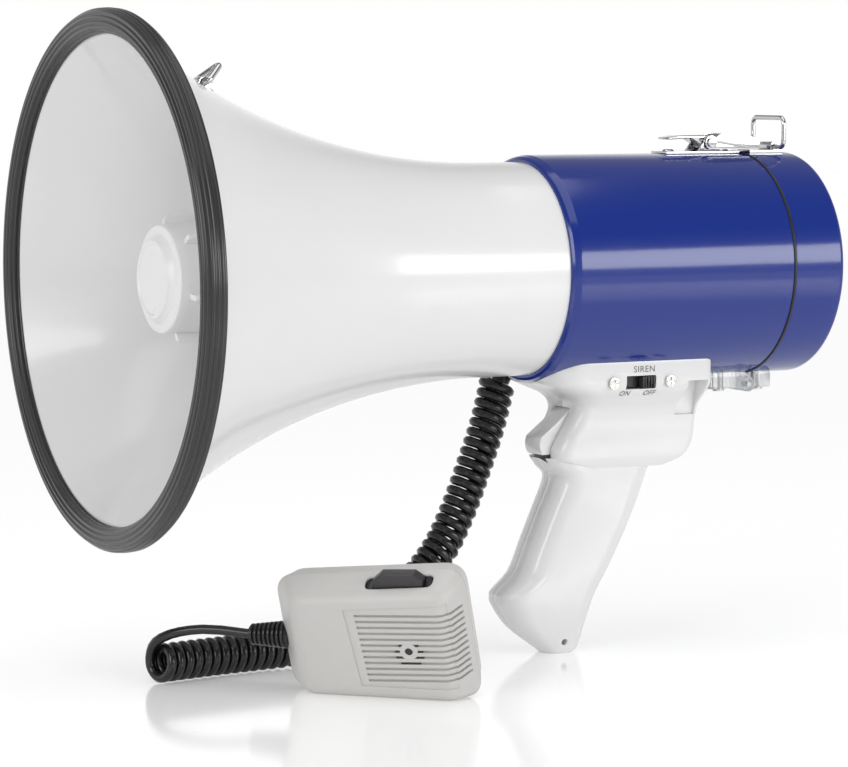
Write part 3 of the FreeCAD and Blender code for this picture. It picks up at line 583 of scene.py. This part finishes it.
# %% [markdown]
# The reflector is a deep cup with a raised rim on its lid. Six blades hold it in the bell, and
# their front corners show round the cup as small lugs.

# %% Reflector, its cap and its fins
LID_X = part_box("reflector_cap")[0].x / MM
CUP_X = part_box("reflector_horn")[0].x / MM
CUP_R = 23.5
FINS = 6
FIRST_FIN = math.radians(45)
cup_line = rounded([(LID_X, 0, 0), (LID_X, 14.9, 0.3), (LID_X - 0.7, 15.4, 0.3), (LID_X - 0.7, 16.6, 0.4),
                    (LID_X, 17.0, 0.3), (CUP_X - 0.6, 18.6, 0.4), (CUP_X, 19.4, 0.6),
                    (CUP_X, CUP_R - 0.4, 1.2),
                    (CUP_X + 4, CUP_R, 2.0), (CUP_X + 43, CUP_R + 1, 20), (CUP_X + 88, CUP_R + 4, 20),
                    (CUP_X + 118, CUP_R + 10.5, 0.4), (CUP_X + 118, CUP_R + 8.5, 0.4),
                    (CUP_X + 88, CUP_R + 2, 20), (CUP_X + 3, CUP_R - 2, 0)], steps=4)
cup = lathe("reflector", cup_line, steps=128)
mount(cup, "megaphone", FINISH["reflector_white"], "reflector_white", "reflector_horn", "reflector_cap")
fin_set = bmesh.new()
fin_line = rounded([(CUP_X + 4.5, CUP_R - 1, 0), (CUP_X + 5.5, CUP_R + 3.6, 1.5),
                    (CUP_X + 40, CUP_R + 6, 6), (CUP_X + 81, 47.0, 0), (CUP_X + 101, 44.4, 0),
                    (CUP_X + 113, CUP_R + 9, 3), (CUP_X + 88, CUP_R + 3, 4), (CUP_X + 43, CUP_R, 0)], True)
for i in range(FINS):
    blade = plate_mesh(fin_line, -1.2, 1.2)
    turned = Matrix.Rotation(FIRST_FIN + 2 * math.pi * i / FINS, 4, "X")
    bmesh.ops.transform(blade, matrix=Matrix.Translation((0, 0, AXIS * MM)) @ turned, verts=blade.verts[:])
    whole = bpy.data.meshes.new("blade")
    blade.to_mesh(whole)
    blade.free()
    fin_set.from_mesh(whole)
    bpy.data.meshes.remove(whole)
fins = object_from("reflector_fins", fin_set)
soften(fins, 0.35)
mount(fins, "megaphone", FINISH["reflector_white"], "reflector_white", "reflector_horn")
print("reflector and", FINS, "fins")

# %% [markdown]
# ## The battery housing
# The housing is one blue tube with a bevelled front lip, and the rear cap closes it with a seam
# between them. A wide round at the cap's rear edge makes the highlight that runs round it.

# %% Housing tube and rear cap
LIP_X = housing_low.x / MM
TUBE_WALL = 2.6
housing_line = rounded([(LIP_X, BELL_TUBE_R + 0.05, 0), (LIP_X, HOUSING_R - 2.0, 0.9),
                        (LIP_X + 1.3, HOUSING_R - 0.8, 1.2), (LIP_X + 4.2, HOUSING_R, 2.5),
                        (SEAM_X, HOUSING_R, 0.4), (SEAM_X, HOUSING_R - TUBE_WALL, 0),
                        (LIP_X + 10, HOUSING_R - TUBE_WALL, 0), (LIP_X + 10, BELL_TUBE_R + 0.05, 0)], True)
tube = lathe("housing", housing_line, steps=192, closed=True)
mount(tube, "megaphone", FINISH["housing_blue"], "housing_blue", "rear_housing")
CAP_X = SEAM_X + 1.2
cap_line = rounded([(REAR_X, 0, 0), (REAR_X, HOUSING_R, 3.2), (CAP_X, HOUSING_R, 0.4), (CAP_X, 47.7, 0.3),
                    (CAP_X - 3.5, 47.7, 0.4), (CAP_X - 3.5, 47.3, 0.2), (REAR_X - 2.5, 47.3, 1.0),
                    (REAR_X - 2.5, 0, 0)], steps=8)
lid = lathe("rear_lid", cap_line, steps=192)
mount(lid, "rear_cap", FINISH["housing_blue"], "housing_blue", "rear_cap")
SEAL_R = HOUSING_R + 0.45
SEAL_IN_R = HOUSING_R - 2.4
seal_line = rounded([(SEAM_X - 0.05, SEAL_IN_R, 0), (SEAM_X - 0.05, SEAL_R, 0.5),
                     (CAP_X + 0.05, SEAL_R, 0.5), (CAP_X + 0.05, SEAL_IN_R, 0)], True)
seal = lathe("seal", seal_line, steps=192, closed=True)
mount(seal, "megaphone", FINISH["gasket_black"], "gasket_black", "seam_gasket")
print("housing, cap and seal turned")

# %% [markdown]
# ## Metalwork, hinge and switch
# The pressed latch, the front strap bracket, the moulded hinge and the little knob are already the right
# shape. They only lack the small rounds that make an edge shine, so merged copies get a fine bevel.

# %% Softened copies of the small parts
SMALL = [
    ("latch_base", "megaphone", "chrome", 0.3), ("latch_lever", "latch_lever", "chrome", 0.5),
    ("latch_link", "latch_link", "chrome", 0.25), ("latch_rivets", "megaphone", "chrome", 0.3),
    ("latch_pin", "megaphone", "chrome", 0.3), ("cap_catch", "rear_cap", "chrome", 0.3),
    ("front_strap_bracket", "megaphone", "chrome", 0.4),
    ("hinge_leaf_fixed", "megaphone", "hinge_clear", 0.5),
    ("hinge_leaf_moving", "rear_cap", "hinge_clear", 0.5), ("hinge_screws", "megaphone", "steel", 0.25),
    ("cap_hinge_screws", "rear_cap", "steel", 0.25), ("siren_screws", "megaphone", "steel", 0.2),
    ("siren_knob", "siren_knob", "inner_black", 0.15), ("trigger", "trigger", "bell_white", 0.9),
    ("mic_hanger", "megaphone", "mic_grey", 0.4)]
for source, body, finish, width in SMALL:
    piece = copy_of("soft_" + source, source)
    soften(piece, width)
    mount(piece, body, FINISH[finish], finish, source)
print(len(SMALL), "softened copies")

# %% [markdown]
# ## The handle
# The grip flows from a small foot into a wide block under the housing. Its cross-section is a
# rounded rectangle everywhere, so a short table of sections and a smooth line between them give
# the whole skin. Cuts then make the saddle, the trigger's pocket, the window and the seam.

# %% Sections of the grip and the block, and smooth rows between them
GRIP = [(0.0, -6.5, 8.0, 7.0, 6.5), (2.5, -9.5, 10.5, 9.0, 8.0), (12.0, -22.0, 13.0, 12.0, 10.0),
        (22.0, -29.3, 16.2, 13.5, 11.0), (28.0, -30.8, 19.0, 14.0, 12.0), (37.0, -21.5, 24.5, 14.5, 12.5),
        (50.0, -15.6, 31.5, 14.5, 12.5), (65.0, -9.0, 38.8, 14.5, 12.5), (79.0, -3.0, 44.0, 15.0, 12.5),
        (84.5, -6.5, 46.0, 15.0, 12.0), (89.0, -9.7, 48.0, 15.0, 12.0)]
BLOCK = [(84.0, 8.0, 50.0, 15.0, 8.0), (88.0, -6.0, 60.0, 16.0, 8.0), (95.0, -5.0, 64.5, 16.5, 8.0),
         (104.0, 0.5, 65.5, 17.0, 8.0), (111.0, 4.0, 66.0, 19.0, 8.0), (116.0, 2.0, 66.0, 24.0, 10.0),
         (120.0, -7.0, 66.0, 28.5, 14.0), (124.0, -15.0, 66.0, 30.0, 18.0), (134.0, -19.0, 66.0, 30.0, 20.0)]


def between(rows, per=4):
    """The rows, with more rows on a smooth curve between them."""
    result = []
    last = len(rows) - 1
    for i in range(last):
        a, b, c, d = rows[max(i - 1, 0)], rows[i], rows[i + 1], rows[min(i + 2, last)]
        for k in range(per):
            t = k / per
            row = []
            for p, q, r, s in zip(a, b, c, d):
                curve = (q + 0.5 * t * ((r - p) + t * ((2 * p - 5 * q + 4 * r - s)
                                                       + t * (3 * (q - r) + s - p))))
                row.append(min(max(curve, min(q, r)), max(q, r)))
            result.append(row)
    result.append(list(rows[-1]))
    return result


def slab(row, rear_limit=99.0):
    """One section: a rounded rectangle, whose two rear corners may be kept tighter."""
    z, x0, x1, half, corner = row
    corner = min(corner, half - 0.3, (x1 - x0) / 2 - 0.3)
    rear = min(corner, rear_limit)
    ring = []
    for cx, cy, r, start in ((x1 - rear, half - rear, rear, 0), (x0 + corner, half - corner, corner, 90),
                             (x0 + corner, corner - half, corner, 180), (x1 - rear, rear - half, rear, 270)):
        for k in range(9):
            a = math.radians(start + 90 * k / 8)
            ring.append((cx + r * math.cos(a), cy + r * math.sin(a), z))
    return ring


handle = object_from("handle", loft_mesh([slab(r) for r in between(GRIP)]))
carve(handle, object_from("block", loft_mesh([slab(r, 4.5) for r in between(BLOCK)])), "UNION")
print("handle skin:", len(handle.data.polygons), "faces")

# %% [markdown]
# The skin is now a plain solid. Each cut takes away one thing, and the last step rounds every edge
# that the cuts made sharp, the seam's two edges included.

# %% Saddle, pocket, window, holes and seam
TRIGGER_X, TRIGGER_Z = 8.0, 107.0
POCKET_R = 25.3
REAR_WALL_X = (52.5, 63.0)
SEAM_HALF = 0.14
cut = bmesh.new()
rod_mesh(cut, (-70, 0, AXIS), (120, 0, AXIS), HOUSING_R + 0.05, 192)
carve(handle, object_from("saddle", cut))
pocket = bmesh.new()
rod_mesh(pocket, (TRIGGER_X, -7.5, TRIGGER_Z), (TRIGGER_X, 7.5, TRIGGER_Z), POCKET_R, 96)
pocket_piece = object_from("pocket", pocket)
keep_side = bmesh.new()
box_mesh(keep_side, (-40, -9, 60), (TRIGGER_X, 9, 111.2))
carve(pocket_piece, object_from("pocket_side", keep_side), "INTERSECT")
carve(handle, pocket_piece)
cut = bmesh.new()
box_mesh(cut, (20.2, -40, 120.5), (35.4, -19, 126.6))
carve(handle, object_from("window", cut))
cut = bmesh.new()
rod_mesh(cut, (0, -30, 5.6), (0, 30, 5.6), 1.5)
carve(handle, object_from("strap_hole", cut))
for near in (-1, 1):
    cut = plate_mesh([(32, 123.4), (20, 123.4), (15.6, 107), (32, 105)], *REAR_WALL_X)
    turn = Matrix(((0, 1, 0), (near, 0, 0), (0, 0, 1)))
    bmesh.ops.transform(cut, matrix=turn.to_4x4(), verts=cut.verts[:])
    bmesh.ops.recalc_face_normals(cut, faces=cut.faces[:])
    carve(handle, object_from("rear_recess", cut))
cut = bmesh.new()
box_mesh(cut, (-60, -SEAM_HALF, -5), (90, SEAM_HALF, 140))
carve(handle, object_from("seam", cut))
soften(handle, 0.35, 40.0, 2)
mount(handle, "megaphone", FINISH["bell_white"], "bell_white", "handle_left_shell", "handle_right_shell")
print("handle:", len(handle.data.polygons), "faces")

# %% [markdown]
# The three words beside the switch are text, made into flat mesh before they are placed. A ray from
# the front finds the skin and its slope there, so each word lies on the skin.

# %% Lettering on the switch panel
CAPITAL_SHARE = 1.38    # font size over the height of its capitals
LIFT = 0.00012


def label(words, x, z, tall):
    """Flat letters laid on the handle's skin, as tall in the front view as asked for."""
    place, normal = handle.ray_cast(Vector((x, -60, z)) * MM, Vector((0, 1, 0)))[1:3]
    data = bpy.data.curves.new("label_" + words, "FONT")
    data.body = words
    data.size = tall * CAPITAL_SHARE * MM
    data.space_character = 1.1
    data.align_x = "CENTER"
    data.align_y = "CENTER"
    data.offset = -0.00002
    flat = baked(object_from_data(data))
    right = Vector((1, 0, 0))
    up = normal.cross(right).normalized()
    right = up.cross(normal).normalized()
    turn = Matrix((right, up / max(up.z, 0.4), normal)).transposed().to_4x4()
    flat.data.transform(Matrix.Translation(place + normal * LIFT) @ turn)
    return mount(flat, "megaphone", FINISH["inner_black"], "inner_black")


def object_from_data(data):
    obj = bpy.data.objects.new(data.name, data)
    bpy.context.scene.collection.objects.link(obj)
    return obj


label("SIREN", 29.2, 129.4, 2.9)
label("ON", 20.7, 118.6, 2.4)
label("OFF", 33.6, 118.4, 2.4)
print("three labels")

# %% [markdown]
# ## The fist microphone
# The microphone is a soft block with drafted walls, and it lies on one of those walls. It is built
# flat in its own frame, with X along it, Y up its face and Z out of the face. One matrix then lays
# every piece of it down. The grille's slots run off the face and down over the rounded end.

# %% The microphone's own frame
MIC_YAW = math.radians(-45.0)
MIC_LEAN = math.radians(20.0)
MIC_TAPER = math.radians(2.5)
MIC_MID_HALF = 23.5
MIC_FACE_HALF = 34.0
MIC_PARTING = -15.0
MIC_BACK = -27.0
TAIL_DRAFT, HEAD_DRAFT = 0.66, 0.4          # how much longer each end grows per mm of depth
PARTING_X0, PARTING_X1, PARTING_SPREAD = -44.0, 40.0, 5.46
GROOVE = 0.45
flat = Vector((math.cos(MIC_YAW), math.sin(MIC_YAW), 0))
out = Vector((math.sin(MIC_YAW), -math.cos(MIC_YAW), 0))
upright = Vector((0, 0, 1))
normal = out * math.cos(MIC_LEAN) - upright * math.sin(MIC_LEAN)
rise = upright * math.cos(MIC_LEAN) + out * math.sin(MIC_LEAN)
along = flat * math.cos(MIC_TAPER) + rise * math.sin(MIC_TAPER)
across = rise * math.cos(MIC_TAPER) - flat * math.sin(MIC_TAPER)
foot = Vector((-116.2, -82.3, 0.0)) - flat * 13.0 + rise * MIC_MID_HALF * math.cos(MIC_TAPER)
LAY_DOWN = Matrix.Translation(foot * MM) @ Matrix((along, across, normal)).transposed().to_4x4()


def mic_ring(z, x0, x1, spread, corner):
    ends = [MIC_MID_HALF + x * math.tan(MIC_TAPER) + spread for x in (x0, x1)]
    line = rounded([(x0, -ends[0], corner), (x1, -ends[1], corner), (x1, ends[1], corner),
                    (x0, ends[0], corner)], True, 8)
    return [(p[0], p[1], z) for p in line]


def mic_rings(inset, soft=4.0, steps=7):
    """The block's skin, moved in by inset: a rounded face edge, drafted walls and a rounded back."""
    rings = []
    for k in range(steps):
        a = math.radians(90 * k / (steps - 1))
        z = -inset - soft * (1 - math.cos(a))
        gone = inset + soft * (1 - math.sin(a))
        rings.append(mic_ring(z, -MIC_FACE_HALF + z * TAIL_DRAFT + gone,
                              MIC_FACE_HALF - z * HEAD_DRAFT - gone,
                              -z * math.tan(MIC_LEAN) - gone, 6.5 - 0.2 * z - 0.4 * gone))
    for rise_z, groove in ((0.25, 0.0), (0.1, GROOVE), (-0.1, GROOVE), (-0.25, 0.0)):
        gone = inset or groove
        rings.append(mic_ring(MIC_PARTING + rise_z, PARTING_X0 + gone, PARTING_X1 - gone,
                              PARTING_SPREAD - gone, 9.5 - 0.4 * gone))
    for k in range(steps):
        a = math.radians(90 * k / (steps - 1))
        z = MIC_BACK + inset + 4.0 * (1 - math.sin(a))
        gone = inset + 4.0 * (1 - math.cos(a))
        rings.append(mic_ring(z, -42 + gone, 38 - gone, 3.6 - gone, 9.0 - 0.4 * gone))
    return rings


mic = object_from("microphone", loft_mesh(mic_rings(0.0)))
print("microphone block:", len(mic.data.polygons), "faces")

# %% [markdown]
# A cutter that is first trimmed by a smaller copy of the block cuts to an even depth, even where
# the skin turns down over the end.

# %% Grille panel, slots, sound hole and the talk key's recess
def skin_cut(cutter, depth):
    """Limits a cutter to a thin layer under the block's skin, so that cuts follow the rounding."""
    return carve(cutter, object_from("inner", loft_mesh(mic_rings(depth))))


def mic_outline(corners, low, high, radius):
    """A rounded outline in the face's plane, from depth low to depth high."""
    bm = plate_mesh(rounded([(x, y, radius) for x, y in corners], True), -high, -low)
    turn = Matrix.Rotation(math.radians(90), 3, "X")
    bmesh.ops.rotate(bm, cent=(0, 0, 0), matrix=turn, verts=bm.verts[:])
    bmesh.ops.scale(bm, vec=(1, -1, 1), verts=bm.verts[:])
    bmesh.ops.recalc_face_normals(bm, faces=bm.faces[:])
    return bm


PANEL = [(-7.6, -17.6), (60, -20.5), (60, 21.5), (-10.6, 18.4)]
panel = object_from("panel", mic_outline(PANEL, -13, 3, 1.2))
carve(mic, skin_cut(panel, 0.7))
SLOTS, SLOT_PITCH, LOWEST_SLOT = 12, 2.77, -15.25
slots = bmesh.new()
for i in range(SLOTS):
    y = LOWEST_SLOT + i * SLOT_PITCH
    box_mesh(slots, (-4.2 - 0.17 * i, y - 0.6, -11.5), (60, y + 0.6, 3))
slot_piece = object_from("slots", slots)
carve(mic, skin_cut(slot_piece, 2.0))
cut = bmesh.new()
rod_mesh(cut, (15.6, -1.4, -6), (15.6, -1.4, 3), 1.65)
carve(mic, object_from("sound_hole", cut))
KEY_Z = -8.6


def stadium(grow):
    """The talk key's recess, from above: round ended, grown by grow on every side."""
    x0, x1, half = -1.5 - grow, 28.3 + grow, 3.3 + grow
    return rounded([(x0, KEY_Z - half, 3.0), (x1, KEY_Z - half, 3.0), (x1, KEY_Z + half, 3.0),
                    (x0, KEY_Z + half, 3.0)], True)


carve(mic, object_from("key_recess", plate_mesh(stadium(0.1), 22.8, 40)))


def key_well():
    """The room that the talk key moves in, a little wider than the key."""
    well = bmesh.new()
    box_mesh(well, (2.2, 20.5, KEY_Z - 3.0), (24.8, 40, KEY_Z + 3.0))
    return object_from("key_well", well)


carve(mic, key_well())
soften(mic, 0.22, 42.0, 2)
mic.data.transform(LAY_DOWN)
mount(mic, "megaphone", FINISH["mic_grey"], "mic_grey", "mic_front_shell", "mic_back_shell")
print("microphone:", len(mic.data.polygons), "faces")

# %% [markdown]
# The talk key is made in the same frame, and laid down by the same matrix. Its room in the block is
# deeper than the key, because the key moves 2 mm in.

# %% Talk key and the dark bed round it
key = object_from("talk_key", plate_mesh(rounded(
    [(2.6, 24.0, 0), (2.6, 29.0, 0.8), (6.4, 32.0, 1.0), (20.8, 32.0, 1.0), (24.4, 29.0, 0.8),
     (24.4, 24.0, 0)], True), -2.7, 2.7))
key.data.transform(Matrix.Translation((0, 0, KEY_Z * MM)) @ Matrix.Rotation(math.radians(-90), 4, "X"))
soften(key, 0.5)
key.data.transform(LAY_DOWN)
mount(key, "ptt_button", FINISH["mic_button"], "mic_button", "ptt_button")
bed = object_from("key_bed", plate_mesh(stadium(0.0), 22.9, 40))
carve(bed, object_from("inner", loft_mesh(mic_rings(0.7))), "INTERSECT")
carve(bed, key_well())
bed.data.transform(LAY_DOWN)
mount(bed, "megaphone", FINISH["inner_black"], "inner_black")
print("talk key and bed")

# %% [markdown]
# The sound goes in by a round hole with a collar, and by open dashes in the four slots beside it. A black
# plug about 1 mm under the face fills the hole and those dashes, as painted shade for their dark depth.

# %% Sound hole, collar and open slots, with painted shade in their depth
HOLE = (15.6, -1.4)
# Black plugs in four slots and in the hole: painted shade standing for the dark inside of the openings
dark = bmesh.new()
for row, low, high in ((6, 11.4, 19.8), (5, 9.6, 21.6), (4, 9.6, 21.6), (3, 11.4, 19.8)):
    y = LOWEST_SLOT + row * SLOT_PITCH
    box_mesh(dark, (low, y - 0.62, -1.95), (high, y + 0.62, -1.0))
rod_mesh(dark, (*HOLE, -5.9), (*HOLE, -0.95), 2.0)
opening_shade = object_from("painted_opening_shade", dark)
opening_shade.data.transform(LAY_DOWN)
mount(opening_shade, "megaphone", FINISH["inner_black"], "inner_black")
disc = bmesh.new()
rod_mesh(disc, (*HOLE, -1.9), (*HOLE, -0.6), 3.9, 48)
collar = object_from("hole_collar", disc)
cut = bmesh.new()
rod_mesh(cut, (*HOLE, -3), (*HOLE, 1), 1.75)
carve(collar, object_from("collar_hole", cut))
soften(collar, 0.15)
collar.data.transform(LAY_DOWN)
mount(collar, "megaphone", FINISH["mic_grey"], "mic_grey")
print("sound openings")

# %% [markdown]
# The strain relief is a ribbed rubber cone, turned like the horn and then moved to the tail's end.

# %% Strain relief
RELIEF_BASE, RELIEF_TIP, RELIEF_Y, RELIEF_RIBS = -43.4, -60.0, -1.5, 8
step = (RELIEF_BASE - RELIEF_TIP) / RELIEF_RIBS
relief_line = [(RELIEF_BASE + 1.5, 4.2, 0)]
for i in range(RELIEF_RIBS):
    x, r = RELIEF_BASE - i * step, 6.0 - 0.2 * i
    relief_line += [(x, r - 1.1, 0.15), (x - 0.15, r, 0.3), (x - step * 0.62, r - 0.1, 0.3),
                    (x - step * 0.72, r - 1.1, 0.15)]
relief_line += [(RELIEF_TIP, 3.6, 0.4), (RELIEF_TIP, 2.3, 0)]
relief = lathe("strain_relief", rounded(relief_line, steps=3), steps=64)
relief.data.transform(LAY_DOWN @ Matrix.Translation(Vector((0, RELIEF_Y, MIC_PARTING - AXIS)) * MM))
mount(relief, "megaphone", FINISH["cord_black"], "cord_black", "mic_strain_relief")
print("strain relief with", RELIEF_RIBS, "ribs")

# %% [markdown]
# ## The curly cord
# A curly cord is one wire wound round nothing, set in its coil by heat. Its middle line falls from
# the housing and lies down behind the microphone, so that line is drawn first as a smooth spline.
# A loop then winds the wire round it, and the straight tail carries on into the strain relief.

# %% The middle line of the coil, and of the tail
COIL_ROUTE = [(-16.0, 24.5, 121.0), (-20.0, 24.0, 105.0), (-28.5, 22.5, 85.0), (-38.0, 20.5, 64.0),
              (-50.0, 18.5, 44.0), (-69.0, 17.5, 26.5), (-94.0, 16.0, 14.0), (-121.0, 14.5, 8.9),
              (-148.0, 11.5, 8.8), (-172.0, 7.5, 8.8), (-193.0, 2.5, 8.8)]
TAIL_ROUTE = [(-194.6, 8.0, 13.0), (-193.8, 5.0, 18.0), (-189.5, -0.8, 21.8), (-183.0, -7.2, 24.0),
              (-174.0, -15.2, 25.0), (-162.4, -25.5, 23.3)]
WIRE_D = 4.4
COIL_D = 17.4
PITCH = 4.75


def spline_curve(name, points):
    """A NURBS curve object through a list of control points, in metres."""
    data = bpy.data.curves.new(name, "CURVE")
    data.dimensions = "3D"
    spline = data.splines.new("NURBS")
    spline.points.add(len(points) - 1)
    for point, place in zip(spline.points, points):
        point.co = (*place, 1.0)
    spline.order_u = 3
    spline.use_endpoint_u = True
    spline.resolution_u = 8
    obj = bpy.data.objects.new(name, data)
    bpy.context.scene.collection.objects.link(obj)
    return obj


def line_of(route):
    """Points along the smooth line of a route, read back from its own spline."""
    guide = spline_curve("guide", [Vector(p) * MM for p in route])
    graph = bpy.context.evaluated_depsgraph_get()
    mesh = bpy.data.meshes.new_from_object(guide.evaluated_get(graph))
    points = [v.co.copy() for v in mesh.vertices]
    bpy.data.meshes.remove(mesh)
    bpy.data.objects.remove(guide)
    return points


def evenly(points, count):
    """The same line as count evenly spaced points."""
    lengths = [0.0]
    for a, b in zip(points, points[1:]):
        lengths.append(lengths[-1] + (b - a).length)
    result, k = [], 0
    for i in range(count):
        want = lengths[-1] * i / (count - 1)
        while k < len(points) - 2 and lengths[k + 1] < want:
            k += 1
        share = (want - lengths[k]) / max(lengths[k + 1] - lengths[k], 1e-9)
        result.append(points[k].lerp(points[k + 1], share))
    return result, lengths[-1]


print("the wire is %.1f mm thick" % WIRE_D)


# %% [markdown]
# The coil winds left-handed and lies evenly along its middle line. The last turn rises off the
# floor and becomes the tail.

# %% Wind the wire
PER_TURN = 16
middle = line_of(COIL_ROUTE)
coil_long = sum((b - a).length for a, b in zip(middle, middle[1:]))
TURNS = round(coil_long / (PITCH * MM))
stations, coil_long = evenly(middle, TURNS * PER_TURN + 1)
coil_r = (COIL_D - WIRE_D) / 2 * MM
side = Vector((0.0, 1.0, 0.0))
wire = []
for i, here in enumerate(stations):
    ahead = stations[min(i + 1, len(stations) - 1)] - stations[max(i - 1, 0)]
    ahead.normalize()
    side = (side - ahead * side.dot(ahead)).normalized()
    up = ahead.cross(side)
    turn = 2 * math.pi * i / PER_TURN
    wire.append(here + (side * math.cos(turn) - up * math.sin(turn)) * coil_r)
for place in TAIL_ROUTE:
    wire.append(Vector(place) * MM)
cord = spline_curve("curly_cord", wire)
cord.data.bevel_depth = WIRE_D / 2 * MM
cord.data.bevel_resolution = 2
cord.data.splines[0].resolution_u = 2
cord.data.use_fill_caps = True
cord.data.materials.append(FINISH["cord_black"])
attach(cord, "megaphone")
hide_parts("cord_coil", "cord_tail")
